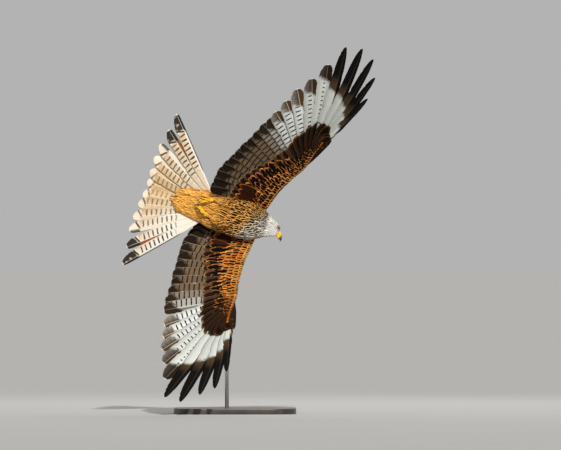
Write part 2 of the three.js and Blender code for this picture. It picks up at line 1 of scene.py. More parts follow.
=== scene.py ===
import bpy
import numpy as np
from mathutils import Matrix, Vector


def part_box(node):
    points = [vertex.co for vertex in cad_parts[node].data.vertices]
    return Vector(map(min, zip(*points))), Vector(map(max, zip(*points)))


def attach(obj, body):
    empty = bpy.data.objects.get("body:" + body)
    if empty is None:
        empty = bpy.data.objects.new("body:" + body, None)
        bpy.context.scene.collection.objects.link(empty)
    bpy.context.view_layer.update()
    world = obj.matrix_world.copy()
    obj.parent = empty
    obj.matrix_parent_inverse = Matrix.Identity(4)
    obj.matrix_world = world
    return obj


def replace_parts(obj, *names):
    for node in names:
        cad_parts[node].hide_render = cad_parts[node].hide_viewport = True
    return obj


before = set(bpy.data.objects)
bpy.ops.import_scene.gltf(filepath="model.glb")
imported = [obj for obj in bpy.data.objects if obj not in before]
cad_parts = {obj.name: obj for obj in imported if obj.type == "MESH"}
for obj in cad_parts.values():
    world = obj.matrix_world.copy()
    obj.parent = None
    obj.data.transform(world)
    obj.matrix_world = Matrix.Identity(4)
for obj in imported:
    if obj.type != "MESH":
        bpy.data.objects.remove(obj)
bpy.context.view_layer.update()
print("frame loaded:", len(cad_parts), "nodes")

mm = 0.001  # lengths are millimetres in the bird's own frame until a mesh is made
chance = np.random.default_rng(11)


def mix(a, b, t):
    # a where t is 0, b where it is 1, and straight between; t may be a socket
    return a + (b - a) * t


def smooth(low, high, x):
    # 0 on the low side, 1 on the high side, eased between; low may be the larger
    t = np.clip((np.asarray(x, float) - low) / (high - low), 0, 1)
    return t * t * (3 - 2 * t)


def unit(v):
    return v / np.maximum(np.linalg.norm(v, axis=-1, keepdims=True), 1e-9)


def scatter(n):
    # repeatable number from -1 to 1 for the n-th of a kind, the same as in the solids
    s = np.sin(np.asarray(n, float) * 127.1 + 311.7) * 43758.5453
    return 2 * (s - np.floor(s)) - 1


def rotation(axis, degrees):
    # matrices that turn about x, y or z by each angle
    a = np.radians(np.asarray(degrees, float))
    i, j, k = axis, (axis + 1) % 3, (axis + 2) % 3
    m = np.zeros(a.shape + (3, 3))
    m[..., i, i] = 1
    m[..., j, j] = m[..., k, k] = np.cos(a)
    m[..., j, k] = -np.sin(a)
    m[..., k, j] = np.sin(a)
    return m


# the bird's pose: x forward along the back, y to its left, z up out of its back
pose = {
    "centre": np.array([22, 12, 703.0]), "heading": 20, "nosePitch": 4, "bank": 3,
    "headCentre": np.array([139.9, 16, 670.4]), "headDip": 50, "headRoll": 68,
}


def birdAxes():
    # rows are forward, left and back in the world
    h, n, b = np.radians([pose["heading"], pose["nosePitch"], pose["bank"]])
    ahead, above = np.array([np.cos(h), 0, -np.sin(h)]), np.array([np.sin(h), 0, np.cos(h)])
    viewer = np.array([0, -1.0, 0])
    forward = ahead * np.cos(n) + viewer * np.sin(n)
    belly = viewer * np.cos(n) - ahead * np.sin(n)
    left = -above * np.cos(b) - belly * np.sin(b)
    return np.array([forward, left, np.cross(forward, left)])


def headAxes():
    # rows are forward, left and crown in the world
    d, r = np.radians([pose["headDip"], pose["headRoll"]])
    forward, aside = np.array([np.cos(d), 0, -np.sin(d)]), np.array([np.sin(d), 0, np.cos(d)])
    crown = aside * np.sin(r) + np.array([0, np.cos(r), 0])
    return np.array([forward, np.cross(crown, forward), crown])


birdTurn, headTurn = birdAxes(), headAxes()


def birdToWorld(points):
    return (points @ birdTurn + pose["centre"]) * mm


def headToBird(points):
    return (points @ headTurn + pose["headCentre"] - pose["centre"]) @ birdTurn.T


def birdToHead(points):
    return (points @ birdTurn + pose["centre"] - pose["headCentre"]) @ headTurn.T


class Socket:
    # a node's output; an expression on it adds Math nodes
    def __init__(self, finish, link):
        self.finish, self.link = finish, link

    def __add__(self, other):
        return self.finish.maths("ADD", self, other)

    def __sub__(self, other):
        return self.finish.maths("SUBTRACT", self, other)

    def __rsub__(self, other):
        return self.finish.maths("SUBTRACT", other, self)

    def __mul__(self, other):
        return self.finish.maths("MULTIPLY", self, other)

    def __truediv__(self, other):
        return self.finish.maths("DIVIDE", self, other)

    def __rtruediv__(self, other):
        return self.finish.maths("DIVIDE", other, self)

    __radd__, __rmul__ = __add__, __mul__


def shade(code):
    # a hex colour as the linear colour that a socket takes
    c = np.array([int(code[i:i + 2], 16) / 255 for i in (0, 2, 4)])
    linear = np.where(c <= 0.04045, c / 12.92, ((c + 0.055) / 1.055) ** 2.4)
    return (*[float(v) for v in linear], 1.0)


class Finish:
    # a material with one Principled surface, and the dictionary that names its colours
    def __init__(self, name, tones, **constants):
        self.tones = tones
        self.material = bpy.data.materials.new(name)
        self.material.use_nodes = True
        self.tree = self.material.node_tree
        self.surface = self.tree.nodes["Principled BSDF"]
        for key, value in constants.items():
            self.surface.inputs[key.replace("_", " ")].default_value = value

    def node(self, kind, settings=None, inputs=None, output=0):
        made = self.tree.nodes.new(kind)
        for key, value in (settings or {}).items():
            setattr(made, key, value)
        for key, value in (inputs or {}).items():
            if isinstance(value, Socket):
                self.tree.links.new(value.link, made.inputs[key])
            else:
                made.inputs[key].default_value = value
        return Socket(self, made.outputs[output])

    def maths(self, operation, *values):
        return self.node("ShaderNodeMath", {"operation": operation}, dict(enumerate(values)))

    def unsigned(self, value):
        return self.maths("ABSOLUTE", value)

    def larger(self, first, second):
        return self.maths("MAXIMUM", first, second)

    def blend(self, first, second, share, kind="MIX"):
        # a colour is its name or a socket
        first, second = [shade(self.tones[c]) if isinstance(c, str) else c for c in (first, second)]
        settings = {"data_type": "RGBA", "blend_type": kind}
        return self.node("ShaderNodeMix", settings, {0: share, 6: first, 7: second}, 2)

    def ease(self, low, high, value):
        # 0 to 1 between low and high; low may be the larger
        start, end = (1.0, 0.0) if low > high else (0.0, 1.0)
        inputs = {"Value": value, "From Min": min(low, high), "From Max": max(low, high),
                  "To Min": start, "To Max": end}
        return self.node("ShaderNodeMapRange", {"interpolation_type": "SMOOTHSTEP"}, inputs)

    def number(self, name):
        return self.node("ShaderNodeAttribute", {"attribute_name": name}, output=2)

    def place(self):
        return self.node("ShaderNodeTexCoord", output=3)

    def noise(self, scale, detail=2.0, vector=None):
        inputs = {"Vector": vector or self.place(), "Scale": scale, "Detail": detail}
        return self.node("ShaderNodeTexNoise", {}, inputs)

    def stretch(self, scale):
        # the place with each axis drawn in, for a pattern longer along the others
        return self.node("ShaderNodeVectorMath", {"operation": "MULTIPLY"}, {0: self.place(), 1: scale})

    def vane(self):
        # across the feather from -1 to 1, and along it from root to tip
        uv = self.node("ShaderNodeUVMap", {"uv_map": "vane"})
        parts = self.node("ShaderNodeSeparateXYZ", {}, {0: uv})
        along = Socket(self, parts.link.node.outputs[1])
        return parts * 2 - 1, along

    def colour(self, value):
        self.feed("Base Color", value)

    def bump(self, height, strength, distance):
        inputs = {"Strength": strength, "Distance": distance, "Height": height}
        self.feed("Normal", self.node("ShaderNodeBump", {}, inputs))

    def feed(self, name, value):
        self.tree.links.new(value.link, self.surface.inputs[name])


def sceneObject(name, data):
    # an object at the origin, in the scene
    made = bpy.data.objects.new(name, data)
    bpy.context.scene.collection.objects.link(made)
    return made


def birdPiece(name, mesh, material):
    # a finished mesh as a piece of the model's one body
    mesh.materials.append(material.material)
    piece = sceneObject(name, mesh)
    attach(piece, "root")
    return piece


def pointNumbers(mesh, numbers):
    # one number a point under each name, for the material
    for key, values in numbers.items():
        data = mesh.attributes.new(key, "FLOAT", "POINT").data
        data.foreach_set("value", np.asarray(values, np.float32).reshape(-1))


def finishMesh(name, points, faces, maps, numbers, material):
    # faces, and each map's corners, come in groups of equal corner count
    mesh = bpy.data.meshes.new(name)
    corners = np.concatenate([f.reshape(-1) for f in faces])
    sizes = np.concatenate([np.full(len(f), f.shape[1]) for f in faces])
    starts = np.concatenate([[0], np.cumsum(sizes)[:-1]])
    mesh.vertices.add(len(points))
    mesh.vertices.foreach_set("co", np.asarray(points, np.float32).reshape(-1))
    mesh.loops.add(len(corners))
    mesh.loops.foreach_set("vertex_index", corners.astype(np.int32))
    mesh.polygons.add(len(sizes))
    mesh.polygons.foreach_set("loop_start", starts.astype(np.int32))
    mesh.update(calc_edges=True)
    mesh.polygons.foreach_set("use_smooth", np.ones(len(sizes), bool))
    for key, groups in maps.items():
        uv = np.concatenate([g.reshape(-1, 2) for g in groups]).astype(np.float32)
        mesh.uv_layers.new(name=key).data.foreach_set("uv", uv.reshape(-1))
    pointNumbers(mesh, numbers)
    mesh.validate()
    mesh.update()
    return birdPiece(name, mesh, material)


def tubeFaces(rings):
    # quads round each tube and a cap at either end, turned so that they face outward, with their places
    # round and along the tube
    count, rows, sides = rings.shape[:3]
    index = np.arange(count * rows * sides).reshape(count, rows, sides)
    a, d = index[:, :-1], index[:, 1:]
    quads = np.stack([a, np.roll(a, -1, 2), np.roll(d, -1, 2), d], -1)
    ring, row = np.arange(sides), np.arange(rows - 1)
    turn = np.stack([ring, ring + 1, ring + 1, ring], -1) / sides
    rise = np.stack([row, row, row + 1, row + 1], -1)[:, None] / (rows - 1)
    spots = np.stack(np.broadcast_arrays(turn, rise), -1)[None].repeat(count, 0)
    caps = np.stack([index[:, 0, ::-1], index[:, -1]], 1)
    capTurn = np.stack([ring[::-1], ring]) / sides
    capSpots = np.stack(np.broadcast_arrays(capTurn, [[0.0], [1.0]]), -1)[None].repeat(count, 0)
    p = rings.reshape(-1, 3)[quads]
    middle = p.mean(3) - rings.mean((1, 2))[:, None, None]
    facing = np.cross(p[..., 2, :] - p[..., 0, :], p[..., 3, :] - p[..., 1, :])
    wrong = np.einsum("nrsk,nrsk->n", middle, facing) < 0
    quads[wrong], spots[wrong] = quads[wrong][..., ::-1], spots[wrong][..., ::-1, :]
    caps[wrong], capSpots[wrong] = caps[wrong][..., ::-1], capSpots[wrong][..., ::-1, :]
    return quads, caps, spots, capSpots


def tubePiece(name, rings, material, numbers=None, world=False):
    # closed tubes (count, rows, sides, 3) with a map of turn and length named wrap
    quads, caps, spots, capSpots = tubeFaces(rings)
    points = rings.reshape(-1, 3)
    points = points * mm if world else birdToWorld(points)
    faces = [quads.reshape(-1, 4), caps.reshape(-1, rings.shape[2])]
    return finishMesh(name, points, faces, {"wrap": [spots, capSpots]}, numbers or {}, material)


vaneWeb = {
    "shaftHalf": 0.09,  # half width of a raised shaft, as a share of the vane's half
    "patch": 0.003,  # side of a small feather's place on the OFBake map
}


class Coat:
    # feathers gathered into one piece: rings (count, rows, sides, 3), where each grows on the unwrapped skin,
    # and numbers for the material
    def __init__(self, columns, stations):
        self.stations = np.asarray(stations, float)
        w = np.asarray(columns, float)
        self.across = np.concatenate([w, w[-2:0:-1]])
        edge = np.abs(self.across) > 0.999
        self.face = np.where(edge, 0, np.concatenate([np.ones(len(w)), -np.ones(len(w) - 2)]))
        self.rings, self.spots, self.numbers = [], [], []

    def add(self, centre, across, normal, outer, inner, thick, spot, numbers, camber, shaft=0.0):
        # a lens section on each station's centre: w is 1 on the outer edge and -1 on the inner edge, the
        # height is thick (1 - w^2), with a shaft raised along its middle and camber times the width over all
        w = self.across
        arch = 1 - w * w
        ridge = shaft * np.exp(-(w / vaneWeb["shaftHalf"]) ** 2)
        reach = np.where(w > 0, outer[..., None], inner[..., None]) * w
        height = self.face * thick[..., None] * (arch + ridge) + camber * (outer + inner)[..., None] * arch
        self.rings.append(centre[..., None, :] + across[..., None, :] * reach[..., None]
                          + normal[..., None, :] * height[..., None])
        self.spots.append(spot)
        self.numbers.append(numbers)

    def piece(self, name, material, slot, strips=False):
        # the OFBake map gives each feather a small patch at its root's place, or a strip of its own where
        # it is large
        rings = np.concatenate(self.rings)
        count, rows, sides = rings.shape[:3]
        quads, caps, spots, capSpots = tubeFaces(rings)
        vane = np.stack(np.broadcast_arrays((self.across + 1) / 2, self.stations[:, None]), -1)
        vane = np.tile(vane.reshape(-1, 2), (count, 1))
        if strips:
            corner = np.stack([(np.arange(count) + 0.04) / count, np.full(count, 0.01)], -1)
            size = np.array([0.92 / count, 0.98])
        else:
            corner = np.concatenate(self.spots) - vaneWeb["patch"] / 2
            size = vaneWeb["patch"]
        bake = [corner[:, None, None, None] + spots * size, corner[:, None, None] + capSpots * size]
        numbers = {"dorsal": np.broadcast_to(self.face, (count, rows, sides)) * 0.5 + 0.5}
        for key in self.numbers[0]:
            values = [np.asarray(n[key], float) for n in self.numbers]
            numbers[key] = np.concatenate([
                np.broadcast_to(v.reshape(v.shape + (1,) * (3 - v.ndim)), ring.shape[:3])
                for v, ring in zip(values, self.rings)])
        maps = {"vane": [vane[quads], vane[caps]], "OFBake": bake}
        faces = [quads.reshape(-1, 4), caps.reshape(-1, sides)]
        made = finishMesh(name, birdToWorld(rings.reshape(-1, 3)), faces, maps, numbers, material)
        print(name, count, "feathers,", sum(len(p.vertices) - 2 for p in made.data.polygons), "triangles")


class Sheet:
    # a surface as a grid of points (rows, columns, 3); feathers lie towards higher rows, and a closed one
    # goes round
    def __init__(self, points, closed, up=None):
        self.closed = closed
        if closed:
            wrapped = np.concatenate([points[:, -1:], points, points[:, :2]], 1)
            along = (wrapped[:, 2:] - wrapped[:, :-2]) / 2
            points = wrapped[:, 1:-1]
        else:
            along = np.gradient(points, axis=1)
        self.points, self.along, self.down = points, along, np.gradient(points, axis=0)
        normal = unit(np.cross(self.down, along))
        outward = up if up is not None else points - points.mean(1, keepdims=True)
        self.normal = normal * np.where((normal * outward).sum() < 0, -1, 1)

    def sample(self, field, r, c):
        # field between grid places, carried on straight past an open end
        rows, columns = field.shape[:2]
        c = c % (columns - 1) if self.closed else c
        i = np.clip(np.floor(r).astype(int), 0, rows - 2)
        j = np.clip(np.floor(c).astype(int), 0, columns - 2)
        f, g = (r - i)[..., None], (c - j)[..., None]
        return mix(mix(field[i, j], field[i + 1, j], f), mix(field[i, j + 1], field[i + 1, j + 1], f), g)

    def pitch(self, r, c):
        # millimetres in a row's and in a column's step
        down, along = self.sample(self.down, r, c), self.sample(self.along, r, c)
        return np.linalg.norm(down, axis=-1), np.linalg.norm(along, axis=-1)

    def girth(self, r):
        # millimetres round a closed sheet at row r
        columns = self.points.shape[1] - 1
        steps = self.sample(self.along, np.full(columns, r), np.arange(columns, dtype=float))
        return np.linalg.norm(steps, axis=-1).sum()

    def tipward(self, r, c, distance):
        # the point that lies distance behind a root along the rows
        return self.sample(self.points, r + distance / self.pitch(r, c)[0], c)


def layFeathers(coat, sheet, r, c, length, width, lie, heights, numbers, thick, shape, camber, turn=0.0):
    # centre lines step over the sheet from each root in the lie's direction, an angle from +row towards
    # +column, and their height above it goes from heights[0] to heights[1]; turn rolls the vane about its
    # shaft
    t = coat.stations
    pitchRow, pitchColumn = sheet.pitch(r, c)
    rr = r[:, None] + (np.cos(lie) * length / pitchRow)[:, None] * t
    cc = c[:, None] + (np.sin(lie) * length / pitchColumn)[:, None] * t
    low, high = [np.broadcast_to(h, r.shape)[:, None] for h in heights]
    up = unit(sheet.sample(sheet.normal, rr, cc))
    centre = sheet.sample(sheet.points, rr, cc) + up * mix(low, high, t ** 0.8)[..., None]
    ahead = unit(np.gradient(centre, axis=1))
    across = unit(np.cross(up, ahead))
    normal = np.cross(ahead, across)
    level, rolled = np.cos(turn), np.sin(turn)
    across, normal = across * level + normal * rolled, normal * level - across * rolled
    half = np.broadcast_to(width, r.shape)[:, None] / 2 * shape
    rows, columns = sheet.points.shape[:2]
    spot = np.stack([(c / (columns - 1)) % 1.0, np.clip(r / (rows - 1), 0, 1)], -1) * 0.98 + 0.01
    numbers = {**numbers, "seed": chance.random(len(r))}
    coat.add(centre, across, normal, half, half, np.full(half.shape, thick) * shape, spot, numbers, camber)


# body: cuts across the torso, x along the back
torso = {
    "sections": np.array([  # x, y, z, half width, up, down
        [-132, 6, 4, 61, 27, 37], [-112, 4, 2, 67, 36, 44], [-80, 2, 0, 72, 45, 51], [-40, 1, 0, 73, 52, 56],
        [5, 0, 0, 72, 54, 59], [42, 0, 1, 67, 51, 58], [72, -2, 2, 56, 45, 50]]),
    "tail": np.array([
        [-268, 13, 2, 30, 3, 5], [-248, 12, 2, 38, 6, 9], [-224, 10.5, 2, 44, 9, 14],
        [-198, 9, 3, 49, 13, 20], [-172, 7.4, 4, 55, 18, 27], [-150, 6.4, 4, 59, 23, 33]]),
    "coat": 4.0,  # depth of the feathers over the skin
    "sides": 80, "rows": 40, "neckRows": 7,
}
# head: crown and throat points as x, z; half width; share of the depth at which it is widest
head = {
    "sections": np.array([
        [-28, 15, 0, -57, 35, 0.46], [-18, 16.6, 6, -48, 30, 0.44], [-7, 18.6, 12, -38.5, 25.5, 0.42],
        [3, 19, 17, -31, 22.5, 0.42], [11.5, 16.5, 21, -26, 19.5, 0.44], [19, 12.6, 25, -21.5, 15.5, 0.46],
        [27, 8.2, 27, -16.6, 11, 0.5]]),
    "rows": 22,
    "eye": np.array([10.5, 13.4, 4.0]), "eyeRadius": 6.9,
    "brow": {"back": np.array([0, 16.5, 11.5]), "front": np.array([21, 10, 8.6]), "rise": 3.0, "spread": 3.4},
    "socket": {"place": np.array([10.5, 18.4, 3.0]), "depth": 1.6, "spread": 6},
    "shades": [((10.5, 13.4, 4), 11.4), ((17, 12, 2.4), 6)],  # darker feathers round the eye and before it, partly painted shade under the brow, with reach
    "neckTurn": 0.2,  # share of a turn by which the rolled head's rings run ahead of the body's
    "length": 62,  # of the body's middle line from the bill's base to the collar
}
rowStep = 2.0  # between the body sheet's rows


def eased(table, count):
    # rows of a table drawn through a smooth curve: each key is a cubic of four rows that passes through the
    # middle two
    n = len(table)
    t = np.linspace(0, n - 1, count)
    i = np.clip(np.floor(t).astype(int), 0, n - 2)
    f = (t - i)[:, None]
    padded = np.concatenate([2 * table[:1] - table[1:2], table, 2 * table[-1:] - table[-2:-1]])
    a, b, c, d = [padded[i + k] for k in range(4)]
    bend = (2 * a - 5 * b + 4 * c - d) * f * f + (3 * b - a - 3 * c + d) * f ** 3
    return 0.5 * (2 * b + (c - a) * f + bend)


def oval(x, y, z, half, up, down, sides, power=0.9):
    # a ring in the plane of x with its own height above and below: cosine and sine raised to power
    turn = 2 * np.pi * (np.arange(sides) + 0.5) / sides
    side, rise = [np.sign(v) * np.abs(v) ** power for v in (np.cos(turn), np.sin(turn))]
    return np.stack([np.full(sides, x), y + side * half, z + rise * np.where(rise > 0, up, down)], -1)


def headRing(section, sides):
    # an upright oval tipped so that it runs from crown to throat, in the head's frame
    crownX, crownZ, throatX, throatZ, half, level = section
    depth = np.hypot(crownX - throatX, crownZ - throatZ)
    tip = np.degrees(np.arctan2(throatX - crownX, crownZ - throatZ))
    ring = oval(0.0, 0, 0, half, depth * level, depth * (1 - level), sides)
    middle = np.array([mix(crownX, throatX, level), 0, mix(crownZ, throatZ, level)])
    return ring @ rotation(1, -tip).T + middle


def bodyRows():
    # rings from the bill's base back over head, neck, torso and the root of the tail, in the bird's frame
    sides = torso["sides"]
    shift = int(round(head["neckTurn"] * sides))
    sections = np.concatenate([torso["tail"], torso["sections"]])
    torsoRows = [oval(*s, sides) for s in eased(sections, torso["rows"])]
    headRows = [headToBird(headRing(s, sides)) for s in eased(head["sections"], head["rows"])]
    headRows = [np.roll(ring, shift, axis=0) for ring in headRows]
    shares = np.linspace(0, 1, torso["neckRows"] + 2)[1:-1]
    neckRows = [mix(torsoRows[-1], headRows[0], t) for t in shares]
    return np.array((torsoRows + neckRows + headRows)[::-1])


def evenRows(rows, step, ease, easeFrom):
    # rows set step apart along the middle line, then averaged with their neighbours past easeFrom
    middle = rows.mean(1)
    place = np.concatenate([[0], np.cumsum(np.linalg.norm(np.diff(middle, axis=0), axis=1))])
    even = np.arange(0, place[-1], step)
    flat = rows.reshape(len(rows), -1)
    i = np.clip(np.searchsorted(place, even, side="right") - 1, 0, len(rows) - 2)
    f = ((even - place[i]) / (place[i + 1] - place[i]))[:, None]
    flat = mix(flat[i], flat[i + 1], f)
    share = smooth(easeFrom * 0.5, easeFrom, even)[:, None]
    return mix(flat, averaged(flat, ease), share).reshape(len(even), -1, 3)


def averaged(rows, times):
    # each row but the ends a quarter of either neighbour and half of itself, so many times over
    rows = rows.copy()
    for _ in range(times):
        rows[1:-1] = (rows[:-2] + 2 * rows[1:-1] + rows[2:]) / 4
    return rows


def raisedBrow(rows):
    # a shelf over each eye and a hollow round it: points near the brow's line move out along the surface's
    # normal, and points near the socket's place move in, falling off as exp(-(distance / spread)^2)
    sheet, brow, socket = Sheet(rows, True), head["brow"], head["socket"]
    local = birdToHead(rows)
    lift = np.zeros(rows.shape[:2])
    for side in (-1, 1):
        back, front = [brow[k] * [1, side, 1] for k in ("back", "front")]
        t = np.clip(((local - back) @ (front - back)) / ((front - back) @ (front - back)), 0, 1)
        away = np.linalg.norm(local - back - t[..., None] * (front - back), axis=-1)
        lift = lift + brow["rise"] * np.exp(-(away / brow["spread"]) ** 2)
        away = np.linalg.norm(local - socket["place"] * [1, side, 1], axis=-1)
        lift = lift - socket["depth"] * np.exp(-(away / socket["spread"]) ** 2)
    return rows + sheet.normal[:, :-1] * lift[..., None]


bodySheet = Sheet(raisedBrow(evenRows(bodyRows(), rowStep, 14, head["length"])), True)
print("body sheet", bodySheet.points.shape)

# wings, in the wing's own space: x forward, y outward from the wrist, z up
wings = {
    "shoulder": np.array([58, 50, 28.0]),
    # the arm's reach, the sweep, twist and raise of arm and hand, the primaries that are shorter than the
    # other wing's, and the width of the coverts' marks, wider on the right wing partly as painted shade
    "right": {"side": -1, "reach": 252, "arm": (-26.2, -19, -32.6), "hand": (0, -23.9, -25.1),
              "trim": {3: 0.98, 4: 0.975, 5: 0.985}, "streak": 0.54},
    "left": {"side": 1, "reach": 269, "arm": (-6.5, 10.8, -28.8), "hand": (11.6, 15.1, -42.3),
             "trim": {7: 0.95}, "streak": 0.42},
    "primaries": {"reach": [272, 299, 336, 378, 439, 514, 514, 488, 426, 342],
                  "fan": [-39.6, -29.9, -21.5, -12.9, -5.5, 0.4, 7.2, 13.8, 19.8, 24.6],
                  "width": [52, 52, 53, 54, 54, 54, 51, 46, 41, 34],
                  "root": (12, 102), "rootSlope": 0.54, "rootBack": -23, "lead": (1, 0.3, 0),
                  "firstFinger": 5},
    "secondaries": {"count": 11, "width": 54, "rootX": (-22, -76), "rootY": (-2, 40),
                    "tipX": -248, "tipY": 83, "spacing": 36, "shorter": 120, "lead": (0, 1, 0)},
    "tilt": {"hand": 8, "arm": 5.5},
    "bow": 0.03, "fingerBow": 0.06,
}


class Wing:
    def __init__(self, name):
        self.name, self.pose = name, wings[name]
        self.side, self.reach = self.pose["side"], self.pose["reach"]
        self.wrist = self.turn("arm", 0) @ np.array([0, self.reach, 0])

    def turn(self, part, share):
        # the plane's twist and raise pass from the arm's to the hand's by share
        _, armTwist, armRaise = self.pose["arm"]
        _, handTwist, handRaise = self.pose["hand"]
        share = np.asarray(share, float)
        return (rotation(0, mix(armRaise, handRaise, share)) @ rotation(1, mix(armTwist, handTwist, share))
                @ rotation(2, self.pose[part][0]))

    def turned(self, part, v, share):
        d = self.turn(part, share) @ np.asarray(v, float)
        return d * [1, self.side, 1]

    def place(self, part, v, share):
        p = self.turn(part, share) @ np.asarray(v, float) + self.wrist + wings["shoulder"]
        return p * [1, self.side, 1]

    def facing(self, part, lead, share):
        # out of the wing's plane, and towards a feather's leading side
        return self.turned(part, (0, 0, 1), share), self.turned(part, lead, share)

    def flights(self):
        # every flight feather's root and tip in the wing's plane: primaries from the inner one, then
        # secondaries from the outer one; share is the hand's share of the plane's turn there
        hand, arm = wings["primaries"], wings["secondaries"]
        lines = []
        fans = np.radians(hand["fan"])
        for i, (reach, fan, width) in enumerate(zip(hand["reach"], fans, hand["width"])):
            out, finger = mix(*hand["root"], i / 9), i >= hand["firstFinger"]
            reach = reach * self.pose["trim"].get(i, 1)
            lines.append({
                "part": "hand", "rank": i, "width": width, "finger": finger, "lead": hand["lead"],
                "root": (hand["rootSlope"] * out + hand["rootBack"], out),
                "tip": (reach * np.sin(fan), reach * np.cos(fan)),
                "rootShare": 1, "share": min(1, 0.55 + i * 0.12),
                "bow": wings["fingerBow"] if finger else wings["bow"]})
        for i in range(arm["count"]):
            t = i / (arm["count"] - 1)
            share = max(0, 0.4 - i * 0.13)
            innerEnd = arm["rootY"][1] - self.reach
            lines.append({
                "part": "arm", "rank": -1 - i, "width": arm["width"], "finger": False, "lead": arm["lead"],
                "root": (mix(*arm["rootX"], min(1, t * 1.5)), mix(arm["rootY"][0], innerEnd, t)),
                "tip": (arm["tipX"] + 3 * scatter(i + 20) + arm["shorter"] * max(0, t - 0.75),
                        arm["tipY"] - arm["spacing"] * i + 2 * scatter(i + 40)),
                "rootShare": share, "share": share, "bow": wings["bow"]})
        return lines


def curvedVane(coat, ends, facing, tilt, webs, numbers, bow=0.0, sweep=0.0, thick=0.3, camber=0.03,
               shaft=1.2):
    # centre = root + along t - rise bow t (1 - t) + side 4 sweep t (1 - t), times the length; the vane lies
    # across the leading side and is tilted so that neighbours stack
    (root, tip), (lift, lead), (outer, inner) = ends, facing, webs
    t = coat.stations
    along, length = unit(tip - root), np.linalg.norm(tip - root)
    side = unit(lead - along * (lead @ along))
    rise = np.cross(side, along)
    rise = rise if rise @ lift > 0 else -rise
    level, tilted = np.cos(np.radians(tilt)), np.sin(np.radians(tilt))
    across, normal = side * level + rise * tilted, rise * level - side * tilted
    arch = (length * t * (1 - t))[:, None]
    centre = root + along * (length * t)[:, None] - rise * bow * arch + side * 4 * sweep * arch
    ones = np.ones((len(t), 1))
    numbers = {**numbers, "span": (length * t)[None, :, None], "fromTip": (length * (1 - t))[None, :, None]}
    coat.add(centre[None], (across * ones)[None], (normal * ones)[None], outer[None], inner[None],
             (thick * np.ones(len(t)))[None], None, numbers, camber, shaft)


def roundedEnd(t, start, power):
    # keeps the width up to start, then rounds it off to nothing
    end = np.clip((t - start) / (1 - start), 0, 1)
    return np.sqrt(np.clip(1 - end ** power, 0.0004, 1))


def stations(join, count, start, endCount):
    # places along a vane: count of them up to join, then endCount closer ones from start to the tip
    return np.concatenate([np.linspace(0, join, count), np.linspace(start, 1, endCount)])


flightCoat = {
    "columns": [-1, -0.86, -0.66, -0.44, -0.22, -0.07, 0, 0.1, 0.32, 0.56, 0.8, 1],
    "stations": stations(0.84, 26, 0.86, 13),
    "thick": 0.4, "sweep": 0.012,
    # share of the width along a feather: narrow at the quill and full past the middle, slimmer in a finger
    "shape": ([0, 0.1, 0.34, 0.64, 0.87, 1], [0.22, 0.5, 0.93, 1, 0.99, 0.95]),
    "fingerShape": ([0, 0.1, 0.34, 0.5, 0.66, 0.87, 1], [0.22, 0.5, 0.93, 0.98, 0.88, 0.72, 0.62]),
    "outerWeb": 0.39,  # share of the width before the shaft
    "whiteReach": [215, 240, 268, 305, 362, 328, 303, 278, 238, 190],  # from the wrist to the dark end
    "barReach": [0.82, 0.78, 0.64, 0.46, 0.26, 0, 0, 0, 0, 0],  # share of the inner vane that the bars cross
    "duskEnd": 58, "innerDusk": 26,  # length of a secondary's dark end, and what the last ones' has more
}


def frayed(reach, t, amount, gaps):
    # an edge with small waves and a few parted barbs
    noise = 1 + amount * chance.normal(0, 1, len(t)) * smooth(0.15, 0.4, t)
    for _ in range(gaps):
        k = chance.integers(len(t) // 3, len(t) - 2)
        noise[k] -= chance.uniform(0.05, 0.14)
    return reach * noise


def flightPiece(wing):
    # past is how far a point lies beyond the start of the dark end, in the wing's plane
    coat = Coat(flightCoat["columns"], flightCoat["stations"])
    t = coat.stations
    outerShare = flightCoat["outerWeb"]
    for line in wing.flights():
        part, share, rank, finger = [line[key] for key in ("part", "share", "rank", "finger")]
        ends = [wing.place(part, (*line["root"], 0), line["rootShare"]),
                wing.place(part, (*line["tip"], 0), share)]
        root, tip = np.array(line["root"]), np.array(line["tip"])
        if finger:
            width = line["width"] * np.interp(t, *flightCoat["fingerShape"]) * roundedEnd(t, 0.8, 2.2)
            cut = smooth(0.36, 0.5, t)  # where the outer web is cut in
            outer, inner = width * outerShare * (1 - 0.2 * cut), width * (1 - outerShare) * (1 - 0.06 * cut)
        else:
            width = line["width"] * np.interp(t, *flightCoat["shape"])
            outer = width * outerShare * roundedEnd(t, 0.92, 2.2)
            inner = width * (1 - outerShare) * roundedEnd(t, 0.82, 2.3)
        webs = [frayed(outer, t, 0.012, 1), frayed(inner, t, 0.012, 3)]
        if rank >= 0:
            past = np.linalg.norm(root + (tip - root) * t[:, None], axis=1) - flightCoat["whiteReach"][rank]
            grey, barReach, tone = 0, flightCoat["barReach"][rank], smooth(1.4, 5, rank)
        else:
            past = flightCoat["duskEnd"] - (1 - t) * np.linalg.norm(tip - root)
            past = past + flightCoat["innerDusk"] * smooth(7, 11, -rank)
            grey, barReach, tone = smooth(-1.5, 3.2, -rank), 1.3, 0.8
        numbers = {"past": past[None, :, None], "grey": grey, "barReach": barReach, "tone": tone,
                   "finger": finger, "seed": chance.random()}
        sweep = flightCoat["sweep"] if part == "hand" else 0
        curvedVane(coat, ends, wing.facing(part, line["lead"], share), wings["tilt"][part], webs, numbers,
                   line["bow"], sweep, flightCoat["thick"] * (1 - 0.5 * t), 0.02, 1.8)
    return coat


def plumeMarks(dark, rufous, edge, mark, streak=0.9):
    # one large covert's colours
    return {"dark": dark, "rufous": rufous, "pale": 0, "edge": edge, "streak": streak, "mark": mark,
            "seed": chance.random()}


